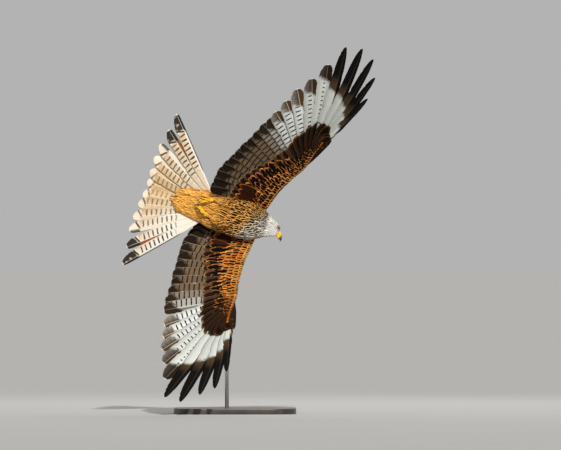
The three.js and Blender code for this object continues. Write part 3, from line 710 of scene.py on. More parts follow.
greater = {
    "columns": [-1, -0.7, -0.35, -0.08, 0, 0.1, 0.45, 0.75, 1], "stations": stations(0.75, 10, 0.8, 7),
    "shape": ([0, 0.3, 0.7, 1], [0.45, 0.95, 1, 0.85]), "width": 39.44, "outerWeb": 0.42,
    "root": 3.4, "tip": 6.4, "thinning": 0.065,  # heights over the wing's plane, less towards the outer ones
    "under": [108, 120, 126, 132, 140, 128, 110, 70, 52, 34],  # reach of each primary's covert below
    "over": [96, 100, 102, 104, 104, 100, 96, 90, 80, 66],
    "arm": 84, "outerExtra": 12,  # reach on the secondaries, and more on the outer ones below
}


def greaterPiece(wing, face):
    # one greater covert to a flight feather, over its root; face is 1 above the wing and -1 below
    coat = Coat(greater["columns"], greater["stations"])
    t = coat.stations
    wide = greater["width"] * np.interp(t, *greater["shape"]) * roundedEnd(t, 0.76, 2.2)
    for i, line in enumerate(wing.flights()):
        part, share, rank, bow = [line[key] for key in ("part", "share", "rank", "bow")]
        root, tip = np.array(line["root"]), np.array(line["tip"])
        length = np.linalg.norm(tip - root)
        rootHeight = greater["root"] * (1 - greater["thinning"] * i if part == "hand" else 1)
        if rank >= 0:
            reach = greater["under" if face < 0 else "over"][rank]
        else:
            reach = greater["arm"] + (greater["outerExtra"] * smooth(5, 1, -rank) if face < 0 else 0)
        cover = reach * (1 + 0.04 * scatter(i + 60)) / length
        sunk = bow * length * (cover * cover - cover)  # follows the flight feather's curve
        ends = [wing.place(part, (*root, face * rootHeight), line["rootShare"]),
                wing.place(part, (*mix(root, tip, cover), face * greater["tip"] + sunk), share)]
        if face > 0:
            marks = plumeMarks(0.62, 0.3, 0.5, 0.6)
        elif rank >= 0:
            marks = plumeMarks(0.98, 0.7, 0.1 + 0.08 * scatter(i + 7) + 0.25 * smooth(3, 0, rank), 0.5)
        else:
            marks = plumeMarks(0.6 + 0.15 * scatter(i + 5), 0.15, 0.5, 0.5)
        webs = [frayed(wide * web, t, 0.02, 1) for web in (greater["outerWeb"], 1 - greater["outerWeb"])]
        curvedVane(coat, ends, wing.facing(part, line["lead"], share), wings["tilt"][part], webs, marks,
                   bow * cover)
    return coat


# long feathers of the armpit; rims is the share of rufous round each
axillaries = {
    "columns": [-1, -0.6, -0.2, 0, 0.2, 0.6, 1], "stations": stations(0.72, 10, 0.79, 6),
    "shape": ([0, 0.3, 0.65, 1], [0.4, 0.85, 1, 0.8]), "length": 100, "width": 26,
    "rootX": (-26, -58), "rootY": (2, 62), "under": -13, "rims": [0.35, 0.8, 0.3, 0.25],
}


def axillaryPiece(wing):
    # they lie back over the inner coverts from beneath
    size = axillaries
    coat = Coat(size["columns"], size["stations"])
    t = coat.stations
    shape = np.interp(t, *size["shape"]) * roundedEnd(t, 0.62, 2.0)
    for i, rim in enumerate(size["rims"]):
        k = i / (len(size["rims"]) - 1)
        back, out = mix(*size["rootX"], k), mix(*size["rootY"], k) - wing.reach
        length = size["length"] * (1 + 0.05 * scatter(i + 90)) * mix(1, 0.86, k)
        ends = [wing.place("arm", (back, out, size["under"] + 2 * k), 0),
                wing.place("arm", (back - length, out - 14, size["under"] - 2 + 3 * k), 0)]
        half = frayed(size["width"] * shape, t, 0.015, 1) / 2
        curvedVane(coat, ends, wing.facing("arm", (0, 1, 0), 0), 7, [half, half],
                   plumeMarks(0.5, 0.8, rim, 0.8), 0.05, camber=0.04)
    return coat


alula = {
    "columns": [-1, -0.5, -0.1, 0, 0.1, 0.5, 1], "stations": stations(0.8, 10, 0.86, 5),
    "shape": ([0, 0.3, 0.7, 1], [0.4, 1, 0.95, 0.8]), "reach": [118, 104, 88], "slope": 0.45, "width": 22,
    "tilt": 6, "thick": 0.35,
}


def alulaPiece(wing):
    # stiff vanes off the front of the wrist, each a little behind and below the one before
    coat = Coat(alula["columns"], alula["stations"])
    t = coat.stations
    wide = alula["width"] * np.interp(t, *alula["shape"]) * roundedEnd(t, 0.75, 2.2)
    for i, reach in enumerate(alula["reach"]):
        ends = [wing.place("hand", (3 - i * 2, 10 - i * 3, 2.4 - i * 1.4), 1),
                wing.place("hand", (alula["slope"] * reach + 9 - i * 5, reach, 4.5 - i * 2.6), 1)]
        curvedVane(coat, ends, wing.facing("hand", (1, 0, 0), 1), alula["tilt"], [wide / 3, wide * 2 / 3],
                   plumeMarks(0.98, 0.3, 0.12, 0.3, 0), thick=alula["thick"])
    return coat


def staggered(k, n, jitter, columns):
    # n places round a row, every other row half a step on
    return (np.arange(n) + 0.5 * (k % 2) + chance.uniform(-jitter, jitter, n)) / n * columns


coverts = {
    # sections of the wing from inside the shoulder to the hand's end: y over the wing's reach, y past it,
    # front, back, thickness, share of the hand
    "sections": np.array([
        [-1, -30, 22, -88, 10, 0], [-1, 12, 12, -98, 10, 0], [-0.6, 0, -3, -98, 8, 0],
        [-0.3, 0, -4, -74, 7, 0.1], [0, -18, 3, -42, 6, 0.35], [0, 14, 5, -32, 5.4, 0.7],
        [0, 60, 15, -10, 4, 1], [0, 108, 33, 20, 2.2, 1]]),
    "flesh": ([0, 0.05, 0.14, 0.4, 0.75, 1, 1.6], [0.05, 0.45, 0.8, 1, 0.95, 0.85, 0.7]),
    "rows": [  # distance behind the leading edge, length, width, spacing
        (0.5, 16, 10, 8.5), (8, 28, 13, 11), (22, 37, 15, 12), (37, 44, 17, 13), (53, 52, 20, 14.5),
        (66, 58, 23.5, 16.5), (80, 62, 27, 18.5)],
    "median": 5,  # number of the first row of median coverts
    "step": 2.0, "depth": 86, "columns": 150, "easing": 30,  # the sheet's grid, and how often it is averaged
    "stations": [0, 0.22, 0.45, 0.68, 0.86, 0.96, 1],
    "shape": np.array([0.45, 0.85, 1, 0.97, 0.78, 0.45, 0.08]),
    "fullChord": 96,  # rows draw together where the arm or hand is narrower than this
}


def wingSheet(wing, face, columns):
    # rows run back from the leading edge, columns outward along the wing; the height over the wing's plane
    # is the flesh's thickness at its front and eases to the coverts' own height behind it
    table = []
    for over, past, front, back, thick, share in coverts["sections"]:
        y = over * wing.reach + past
        part = "hand" if y > 0 else "arm"
        table.append([*wing.place(part, (front, y, 0), share), *wing.turned(part, (-1, 0, 0), share),
                      *wing.turned(part, (0, 0, 1), share), front - back, thick, y])
    table = np.array(table)
    place = np.concatenate([[0], np.cumsum(np.linalg.norm(np.diff(table[:, :3], axis=0), axis=1))])
    even = np.linspace(0, place[-1], columns)
    table = averaged(np.stack([np.interp(even, place, key) for key in table.T], 1), coverts["easing"])
    front, back, up = table[:, :3], unit(table[:, 3:6]), unit(table[:, 6:9])
    chord, thick, y = table[:, 9:].T
    d = np.arange(coverts["depth"])[:, None] * coverts["step"]
    flesh = np.interp(d / chord, *coverts["flesh"]) * (thick + 1)
    points = front + back * d[..., None] + up * (face * flesh)[..., None]
    return Sheet(points, False, up * face), y, chord


def covertPiece(wing, face):
    # marginal, lesser and median coverts in staggered rows
    coat = Coat([-1, -0.5, 0, 0.5, 1], coverts["stations"])
    sheet, alongWing, chord = wingSheet(wing, face, coverts["columns"])
    columns = np.arange(sheet.points.shape[1])
    total = np.linalg.norm(sheet.along[0], axis=-1).sum()
    for k, (behind, length, width, spacing) in enumerate(coverts["rows"]):
        n = int(total / spacing)
        c = staggered(k, n, 0.18, columns[-1])
        y, room = [np.interp(c, columns, along) for along in (alongWing, chord)]
        fit = np.clip(room / coverts["fullChord"], 0.4, 1)
        r = (behind * fit + chance.uniform(-1, 1, n)) / coverts["step"]
        c, y, r, fit = [v[y > -wing.reach - 12] for v in (c, y, r, fit)]
        n = len(c)
        size = 1 + chance.uniform(-0.12, 0.12, n)
        lie = mix(0.12, 0.95, smooth(-30, 90, y)) + chance.uniform(-0.14, 0.14, n)
        marks = underMarks(wing, k, behind * fit, y) if face < 0 else overMarks(behind, y)
        lengths, widths = length * size * mix(0.8, 1, fit), width * size * mix(0.75, 1, fit)
        layFeathers(coat, sheet, r, c, lengths, widths, lie, (0.2, 1.5 + 0.8 * behind / 70), marks, 0.22,
                    coverts["shape"], 0.05, 0.06 * face * wing.side)
    return coat


def underMarks(wing, k, behind, y):
    # under the wing: dark over the hand but for its bright front, rufous with dark marks on the arm
    n, median = len(y), k >= coverts["median"]
    hand, lead = smooth(-24, 44, y), smooth(3.4, 0.8, behind)
    dark = hand * mix(0.75, 0.99, smooth(20, 70, y)) * (1 - 0.85 * lead) * chance.uniform(0.85, 1.05, n)
    dark = np.maximum(dark, (0.5 if median else 0.14 * (k > 3)) * chance.uniform(0.2, 1.4, n))
    rufous = (0.6 if median else 1.0) * chance.uniform(0.8, 1.0, n)
    pale = (0.1 if median else 0.26) * chance.uniform(0, 2, n) * (1 - hand)
    pale = np.maximum(pale, 0.7 * (k == 0) * (1 - hand))
    # mark: the right wing's wider marks stand partly for painted shade
    return {"dark": np.clip(dark, 0, 1), "rufous": rufous, "pale": pale, "streak": 1 - 0.6 * hand * lead,
            "mark": (0.6 if median else wing.pose["streak"]) * chance.uniform(0.7, 1.2, n),
            "edge": (0.16 if median else 0.5) * (1 - 0.8 * smooth(24, 76, y))}


def overMarks(behind, y):
    # over the wing: brown, with a paler band along the arm's hind coverts
    n = len(y)
    dark = mix(0.5, 0.25, behind / 74) * chance.uniform(0.6, 1, n)
    rufous = 0.45 * chance.uniform(0.7, 1.1, n)
    pale = smooth(38, 56, behind) * 0.7 * smooth(60, 0, y) * chance.uniform(0.7, 1.1, n)
    return {"dark": dark, "rufous": rufous, "pale": pale, "streak": 0.8, "mark": mix(0.5, 0.26, pale),
            "edge": mix(0.45, 0.7, pale)}


# tail: reaches from the point where the middle feathers' lines meet, from the middle pair outward
tail = {
    "centre": np.array([-64, 15, 0]), "lift": 2, "reach": [303, 311, 325, 340, 359, 390],
    "fan": [4.3, 10.8, 19, 26.5, 35.6, 43.3], "spread": 3.8, "tilt": 3,
    "rootX": (-152, -137), "rootY": (6, 58), "middleY": 4,
    "height": 5, "drop": 1.5,  # each feather lies under the last
    "rightRaise": 2.8,  # the right half lies over the left
    "width": 50, "shape": ([0, 0.1, 0.34, 0.64, 0.87, 1], [0.22, 0.5, 0.9, 1, 0.98, 0.9]),
    "outerWeb": (0.44, 0.16), "innerWeb": 0.56,  # shares of the width; the outer one narrows outward
}


def tailPlace(distance, angle, across, height):
    a = np.radians(angle)
    p = np.array([-distance * np.cos(a), across + distance * np.sin(a), height])
    return rotation(1, tail["lift"]) @ p + tail["centre"]


def tailPiece():
    coat = Coat(flightCoat["columns"], flightCoat["stations"])
    t = coat.stations
    base = np.interp(t, *tail["shape"]) * tail["width"]
    for side in (-1, 1):
        for i, reach in enumerate(tail["reach"]):
            k = i / (len(tail["reach"]) - 1)
            height = tail["height"] - i * tail["drop"] + (0 if side > 0 else tail["rightRaise"])
            rootY = tail["middleY"] + side * mix(*tail["rootY"], k)
            root = np.array([mix(*tail["rootX"], k), rootY, height + 3])
            tip = tailPlace(reach, side * tail["fan"][i], side * tail["spread"] * (i + 0.5), height)
            outer = base * mix(*tail["outerWeb"], k) * roundedEnd(t, mix(0.88, 0.95, k), 2.4)
            inner = base * tail["innerWeb"] * roundedEnd(t, mix(0.86, 0.8, k), 2.0)
            # the bird's right half of the fan gets painted shade in the material
            numbers = {"rank": k, "seed": chance.random(), "shadedHalf": side < 0}
            webs = [frayed(outer, t, 0.01, 1), frayed(inner, t, 0.01, 2)]
            curvedVane(coat, (root, tip), np.array([[0, 0, 1.0], [0, side, 0]]), tail["tilt"], webs, numbers,
                       0.02, 0, flightCoat["thick"] * (1 - 0.5 * t), 0.02, 1.8)
    return coat


def faceShade(points):
    # 1 round the eyes and on the lores, falling off as exp(-(distance / reach)^4): their darker feathering
    # and painted shade under the brow
    h = birdToHead(points)
    found = np.zeros(h.shape[:-1])
    for side in (-1, 1):
        for place, reach in head["shades"]:
            away = np.linalg.norm(h - np.array(place) * [1, side, 1], axis=-1)
            found = np.maximum(found, np.exp(-(away / reach) ** 4))
    return found


def bodyMarks(points):
    # shares of each colour by place on the body, for feathers and skin alike
    x, y, z = np.moveaxis(points, -1, 0)
    face = faceShade(points)
    back = smooth(-10, 18, z) * smooth(112, 78, x)
    crown = smooth(88, 104, x)  # the pale head
    throat = smooth(-5, 42, x + 0.9 * y) * smooth(-10, 24, x)
    vent = smooth(-78, -128, x)
    # painted shade: both flanks darker, as the lower side of a body lit from above
    paintedFlankShade = smooth(30, 62, np.abs(y)) * (1 - throat) * (1 - vent)
    pale = mix(np.clip(0.52 + throat * 0.46 + 0.2 * vent, 0, 1), 0.12 + 0.6 * throat, back)
    dark = np.clip(0.3 * back * smooth(90, 60, x) + 0.5 * paintedFlankShade, 0, 1)
    return {
        # dark takes the eyes' patch, which is partly painted shade under the brow
        "rufous": mix(1 - 0.9 * throat, 0.5, back), "pale": pale, "dark": np.maximum(dark, 0.97 * face),
        "streak": mix(1, 0.4, smooth(-60, -145, x)) * mix(1, 0.28, crown),
        "mark": mix(0.57, 0.56, throat) * mix(1, 0.5, crown) * mix(1, 0.42, smooth(-25, -125, x)),
        "edge": mix(0.72, 0.75, vent) * (1 - 0.5 * crown) * (1 - 0.4 * back) * (1 - face),
        "crown": crown, "whiteness": smooth(20, 98, x + 0.8 * y) * (1 - face)}


bodyCoat = {
    "stations": [0, 0.2, 0.45, 0.7, 0.87, 0.96, 1],
    "shape": np.array([0.4, 0.85, 1, 0.92, 0.66, 0.38, 0.08]),
    # distance from the bill's base, then spacing along and across, length and width of the feathers there
    "sizes": np.array([
        [0, 1.3, 1.2, 4.4, 1.5], [14, 1.7, 1.5, 7.4, 1.9], [34, 2.9, 2.2, 12, 2.8], [62, 7, 5, 25, 7.8],
        [88, 12, 7, 35, 10.6], [120, 17, 8.4, 42, 12.2], [170, 23, 9.6, 48, 12.4], [250, 21, 9.6, 48, 12.6],
        [300, 12, 7.4, 44, 9.4], [340, 9, 6, 42, 7.6], [400, 8.4, 5.4, 44, 7.2], [460, 8.4, 5.4, 44, 7.2]]),
    "pieces": {  # from and to that distance
        "head_coat": (0, 66), "neck_coat": (66, 128), "breast_coat": (128, 262), "vent_coat": (262, 999)},
    # at these distances roots lie this deep and tips stand this proud, and the skin under them lies deeper
    "from": [0, 20, 70, 140], "depth": [0.5, 1.2, 2.6, torso["coat"]], "proud": [0.2, 0.35, 0.7, 1.2],
    "skinDepth": [0.6, 1.4, 3.0, torso["coat"] + 1],
    "endGap": 38,  # the last feathers grow this far before the sheet's end
    "shown": 0.7,  # share of a feather's length where it isn't covered, whose place gives its marks
    "eyeGap": 0.6,  # between the eye's ball and the feathers
}


def coatSize(behind, key):
    # a feather's size at its distance from the bill's base
    sizes = bodyCoat["sizes"]
    return np.interp(behind, sizes[:, 0], sizes[:, 1 + ["along", "across", "length", "width"].index(key)])


def bodyRoots():
    # rows of roots over the whole body, staggered, closer where feathers are small
    rowCount, columns = bodySheet.points.shape[0], bodySheet.points.shape[1] - 1
    found, behind, k, last = [], 1.0, 0, rowCount * rowStep - bodyCoat["endGap"]
    while behind < last:
        spacing, r = coatSize(behind, "along"), behind / rowStep
        n = int(bodySheet.girth(r) / coatSize(behind, "across"))
        c = staggered(k, n, 0.25, columns)
        found.append(np.stack([r + chance.uniform(-0.35, 0.35, n) * spacing / rowStep, c], -1))
        behind += spacing
        k += 1
    found = np.concatenate(found)
    place = bodySheet.sample(bodySheet.points, found[:, 0], found[:, 1])
    beside = np.abs(place[:, 1] - 12) / 45  # the last rows end in a soft curve, longest at the middle
    return found[found[:, 0] * rowStep < last - 26 * beside ** 2 - chance.uniform(0, 14, len(found))]


def clearOfEyes(points):
    # true where no part of a feather comes within the eyes' rims
    h = birdToHead(points)
    near = head["eyeRadius"] + bodyCoat["eyeGap"]
    away = [np.linalg.norm(h - head["eye"] * [1, side, 1], axis=-1) for side in (-1, 1)]
    return (np.array(away) > near).all((0, 2))


def bodyPieces():
    sheet, shape, shown = bodySheet, bodyCoat["shape"], bodyCoat["shown"]
    found = bodyRoots()
    for name, (start, stop) in bodyCoat["pieces"].items():
        small = name == "head_coat"
        far = found[:, 0] * rowStep
        pick = (far >= start) & (far < stop)
        (r, c), far = found[pick].T, far[pick]
        n = len(r)
        length = coatSize(far, "length") * chance.uniform(0.85, 1.15, n)
        width = coatSize(far, "width") * chance.uniform(0.88, 1.12, n)
        if small:
            keep = clearOfEyes(np.stack([sheet.tipward(r, c, length * s) for s in (0, 0.5, 1)], 1))
        else:  # not far past the sheet's open end
            keep = r + length / sheet.pitch(r, c)[0] < sheet.points.shape[0] + 6
        r, c, far, length, width = [v[keep] for v in (r, c, far, length, width)]
        n = len(r)
        coat = Coat([-1, 0, 1] if small else [-1, -0.5, 0, 0.5, 1], bodyCoat["stations"])
        depth, proud = [np.interp(far, bodyCoat["from"], bodyCoat[key]) for key in ("depth", "proud")]
        lie = chance.normal(0, 1, n) * mix(0.11, 0.2, smooth(270, 340, far))
        loose = chance.uniform(0.6, 1.3, n)
        proud = proud * loose * mix(1, chance.uniform(0.5, 2.6, n), smooth(270, 330, far))
        place = sheet.tipward(r, c, shown * length)
        marks = bodyMarks(place + chance.normal(0, 1, place.shape) * (1 if small else 4))
        layFeathers(coat, sheet, r, c, length, width, lie, (-depth, proud), marks, 0.08 if small else 0.16,
                    shape, 0.035)
        coat.piece(name, *((headFinish, "head_feathers") if small else (bodyFinish, "body_feathers")))


def limbRings(points, radii, rows=24, sides=20):
    # a tube round the curve through three points, its radius eased through the list
    a, b, c = [np.asarray(p, float) for p in points]
    t = np.linspace(0, 1, rows)[:, None]
    path = a * (1 - t) * (1 - 2 * t) + b * 4 * t * (1 - t) + c * t * (2 * t - 1)
    radius = eased(np.asarray(radii, float)[:, None], rows)
    ahead = unit(np.gradient(path, axis=0))
    side = unit(np.cross([0, 0, 1.0], ahead))
    up = np.cross(ahead, side)
    turn = 2 * np.pi * np.arange(sides) / sides
    ring = np.cos(turn)[None, :, None] * side[:, None] + np.sin(turn)[None, :, None] * up[:, None]
    return path[:, None] + ring * np.maximum(radius, 0.1)[..., None]


legs = {
    "thigh": [(-4, 35, -37), (-56, 37, -45), (-101, 32, -46)], "thighRadii": [3, 11, 18, 20, 14, 5],
    "rows": 30, "sides": 32, "rowSpacing": 3.2, "spacing": 7.6, "length": (28, 36), "width": 10.5,
    "skinDepth": 4,
}


def thighRings(side, grow=0):
    points = [np.array(p) * [1, side, 1] for p in legs["thigh"]]
    return limbRings(points, np.array(legs["thighRadii"]) + grow, legs["rows"], legs["sides"])


def thighPiece():
    coat = Coat([-1, -0.5, 0, 0.5, 1], bodyCoat["stations"])
    for side in (-1, 1):
        sheet = Sheet(thighRings(side), True)
        for k, row in enumerate(np.arange(1.5, legs["rows"] - 2.5, legs["rowSpacing"])):
            n = max(4, int(sheet.girth(row) / legs["spacing"]))
            c = staggered(k, n, 0.2, legs["sides"])
            r = row + chance.uniform(-0.4, 0.4, n)
            length = chance.uniform(*legs["length"], n)
            marks = bodyMarks(sheet.tipward(r, c, bodyCoat["shown"] * length))
            lie = chance.normal(0, 0.1, n)
            layFeathers(coat, sheet, r, c, length, legs["width"], lie, (-2.5, 1.0), marks, 0.2,
                        bodyCoat["shape"], 0.06)
    return coat


skin = {
    "end": 394,  # distance from the bill's base at which the body's tube ends, under the tail's coverts
    "wingColumns": 90, "wingDepth": 1.8,
    "voxel": 0.0024, "easing": 4,
}


def wingFlesh(wing):
    # a closed loop of the covert sheets' front halves, sunk under the feathers but for its edges
    loops, share = [], np.linspace(0, 1, 14)[:, None]
    for face in (1, -1):
        sheet, _, chord = wingSheet(wing, face, skin["wingColumns"])
        r = share * np.maximum((chord / 2).astype(int), 8)
        c = np.broadcast_to(np.arange(len(chord)), r.shape)
        sunk = np.minimum(skin["wingDepth"], 40 * share * (1 - share))[..., None]
        loops.append(sheet.sample(sheet.points, r, c) - sheet.sample(sheet.normal, r, c) * sunk)
    return np.swapaxes(np.concatenate([loops[0], loops[1][-2:0:-1]]), 0, 1)


def skinPiece():
    # one skin: closed tubes of flesh fused by a voxel remesh, then eased
    behind = np.arange(len(bodySheet.points)) * rowStep
    depth = np.interp(behind, bodyCoat["from"], bodyCoat["skinDepth"])
    body = bodySheet.points[:, :-1] - bodySheet.normal[:, :-1] * depth[:, None, None]
    tubes = [body[:int(skin["end"] / rowStep)]]
    tubes += [thighRings(side, -legs["skinDepth"]) for side in (-1, 1)]
    tubes += [wingFlesh(wing) for wing in bothWings]
    faces, start = [], 0
    for tube in tubes:
        quads, caps, _, _ = tubeFaces(tube[None])
        for part in (quads.reshape(-1, 4), caps.reshape(-1, tube.shape[1])):
            faces += (part + start).tolist()
        start += tube.shape[0] * tube.shape[1]
    points = np.concatenate([tube.reshape(-1, 3) for tube in tubes])
    mesh = bpy.data.meshes.new("flesh")
    mesh.from_pydata(birdToWorld(points).tolist(), [], faces)
    mesh.update()
    flesh = sceneObject("flesh", mesh)
    remesh = flesh.modifiers.new("fuse", "REMESH")
    remesh.mode, remesh.voxel_size, remesh.use_smooth_shade = "VOXEL", skin["voxel"], True
    ease = flesh.modifiers.new("ease", "SMOOTH")
    ease.factor, ease.iterations = 0.5, skin["easing"]
    graph = bpy.context.evaluated_depsgraph_get()
    done = bpy.data.meshes.new_from_object(flesh.evaluated_get(graph))
    bpy.data.objects.remove(flesh)
    done.name = "skin"
    count = len(done.vertices)
    points = np.empty(count * 3, np.float32)
    done.vertices.foreach_get("co", points)
    place = (points.reshape(-1, 3) / mm - pose["centre"]) @ birdTurn.T
    pointNumbers(done, {**bodyMarks(place), "seed": np.full(count, 0.5)})
    done.materials.clear()
    piece = birdPiece("skin", done, skinFinish)
    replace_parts(piece, "torso", "neck", "head", "tail", "wing_right", "wing_left",
                "thigh_right", "thigh_left")
    print("skin", count, "points")


plumage = {  # colours of the contour feathers; root is painted shade where overlapping feathers hide a feather's base
    "brown": "5e4027", "rufous": "c96512", "pale": "efe6d4", "dark": "1c120c", "streak": "0a0604",
    "fringe": "f2b45c", "greyFringe": "c4b49c", "crown": "fbfaf6", "buff": "f6b850", "root": "3a1f0c",
}


def groundColour(f):
    # brown, then the shares of rufous, pale and dark over it; pale is golden, and whiter towards the head
    paleTone = f.blend("buff", "pale", f.ease(0.05, 0.8, f.number("whiteness")))
    paleTone = f.blend(paleTone, "crown", f.number("crown"))
    c = f.blend("brown", "rufous", f.number("rufous"))
    c = f.blend(c, paleTone, f.number("pale"))
    return f.blend(c, "dark", f.number("dark"))


def toned(f, colour, amount):
    # each feather a little lighter or darker than its neighbours, with a fine mottle
    tone = f.number("seed") * amount + f.noise(260, 3.0) * 0.35 + (1 - amount / 2 - 0.17)
    return f.blend(colour, f.node("ShaderNodeCombineColor", {}, {0: tone, 1: tone, 2: tone}), 1.0, "MULTIPLY")


def contourFinish(name, rimFrom, rootShare=0.22):
    # a contour feather: ground by place, a pointed dark shaft mark inside a paler fringe, painted shade
    # towards its hidden root, and barbs
    f = Finish(name, plumage, Roughness=0.8, Specular_IOR_Level=0.06)
    w, t = f.vane()
    side, whiteness = f.unsigned(w), f.number("whiteness")
    wobble = f.noise(420) - 0.5
    fringe = f.ease(rimFrom, rimFrom + 0.16, f.larger(side, t * 0.98) + wobble * 0.2)
    fringeTone = f.blend("greyFringe", "fringe", f.ease(0.1, 0.5, f.number("rufous")))
    fringeTone = f.blend(fringeTone, "pale", whiteness)
    colour = f.blend(groundColour(f), fringeTone, fringe * f.number("edge"))
    reach = f.number("mark") * f.ease(1.04, 0.74, t) * f.ease(-0.2, 0.4, t) * 1.15 + 0.02
    mark = f.ease(1.0, 0.8, (side + wobble * 0.22) / reach) * f.ease(0.08, 0.2, t)
    # painted shade: darker towards the root, where the feather above overlaps it
    paintedRootShade = f.ease(0.66, 0.44, t) * f.ease(0.6, 0.1, whiteness)
    colour = f.blend(colour, "root", paintedRootShade * rootShare)
    colour = f.blend(colour, "streak", mark * f.number("streak"))
    f.colour(toned(f, colour, 0.5))
    barb = f.maths("SINE", (t * 60 + side * 16) * 2.2)
    f.bump(barb * 0.5 + f.ease(0.14, 0.0, side), 0.25, 0.0004)
    return f


def skinFinishOf():
    # the feathers' colours between them, flecked as their marks are
    f = Finish("skin_plumage", plumage, Roughness=0.85, Specular_IOR_Level=0.2)
    fleck = f.ease(0.52, 0.7, f.noise(150, 3.0)) * f.number("streak")
    f.colour(toned(f, f.blend(groundColour(f), "streak", fleck), 0.2))
    f.bump(f.noise(300, 3.0), 0.4, 0.001)
    return f


flight = {  # colours, and the bars' spacing
    "white": "cdd1cf", "outer": "bfc3be", "grey": "66533f", "dark": "0d0907", "brown": "4c3a28",
    "bar": "1e150f", "fringe": "ece2d0", "upper": "3b2d24", "upperGrey": "6f5c4b", "duskBrown": "1d140d",
    "shadow": "8f918c", "spacing": 18.0,
}


def flightFinishOf():
    # below: white or grey with bars across the inner web, then the dark end; above: brown with darker bars
    f = Finish("flight_feathers", flight, Roughness=0.75, Specular_IOR_Level=0.06)
    w, t = f.vane()
    side = f.unsigned(w)
    seed, past, grey, tone, finger, span = [
        f.number(key) for key in ("seed", "past", "grey", "tone", "finger", "span")]
    wobble, fine = f.noise(90) - 0.5, f.noise(500) - 0.5
    odd = f.maths("FRACT", seed * 7.3)
    light = f.blend(f.blend("white", "outer", tone), "grey", grey)
    shaded = f.ease(-0.3, -0.95, w + wobble * 0.3) * f.ease(0.5, 0.0, grey)
    light = f.blend(light, "shadow", shaded * 0.5)
    light = f.blend(light, "duskBrown", grey * f.ease(0.05, 0.25, w))
    light = f.blend(light, "dark", finger * f.ease(0.2, 0.4, w) * f.ease(0.15, 0.3, t))
    step = f.maths("FRACT", (span + side * 4 + wobble * 5) / flight["spacing"] + seed)
    line = f.unsigned(step - 0.5)
    across = (w * -1 - 0.03) / (f.number("barReach") + 0.001)
    bar = f.ease(0.16, 0.11, line) * f.ease(-0.02, 0.06, across) * f.ease(1.05, 0.85, across + wobble * 0.5)
    bar = bar * f.ease(0.26, 0.36, t)
    dusk = f.ease(-11.0, 11.0, past + wobble * 26 + w * (16 + grey * 12) + (odd - 0.5) * 16)
    web = f.ease(0.1, -0.85, w + fine * 0.6) * (1 - tone)
    end = f.blend("brown", "duskBrown", grey)
    end = f.blend(end, "dark", tone * f.ease(1.0, 0.2, grey))
    end = f.blend(end, "outer", web * f.ease(0.4, 0.0, grey) * 0.25)
    nearWhite = f.ease(70.0, 15.0, past + wobble * 20) * f.ease(0.5, -0.1, w) * finger
    end = f.blend(end, "brown", nearWhite * 0.75)
    under = f.blend(light, end, dusk)
    under = f.blend(under, "bar", bar * (1 - dusk * 0.7))
    upper = f.blend("upper", "upperGrey", f.ease(0.1, -0.7, w) * 0.7)
    upper = f.blend(upper, "dark", f.ease(0.2, 0.1, line) * f.ease(0.3, 0.42, t) * 0.7)
    colour = f.blend(under, upper, f.ease(0.49, 0.51, f.number("dorsal")))
    rim = f.larger(f.ease(4.5, 2.0, f.number("fromTip")), f.ease(0.91, 0.97, side) * f.ease(0.2, 0.4, t))
    edge = f.blend("fringe", "upperGrey", grey * 0.6)
    colour = f.blend(colour, edge, rim * f.ease(1.0, 0.0, finger) * (0.8 - grey * odd * 0.6))
    colour = f.blend(colour, "fringe", f.ease(0.05, 0.02, side) * (0.6 - dusk * tone * 0.55))
    f.colour(toned(f, colour, 0.2))
    barb = f.maths("SINE", (span - side * 20) * 2.4)
    f.bump(barb * 0.35 + fine * 0.5 + f.ease(0.08, 0.0, side) * 2, 0.3, 0.0005)
    return f


tailTones = {  # colours, and the bars' spacing
    "inner": "d6bd95", "outer": "e6e1d4", "bar": "1c120b", "tip": "150d08", "edge": "f1e9da",
    "orange": "914a0c", "warm": "c99a66", "halfShade": "b99a6c", "upper": "b4602a", "upperInner": "d79a63",
    "shaded": "8d6a48", "spacing": 17.5,
}


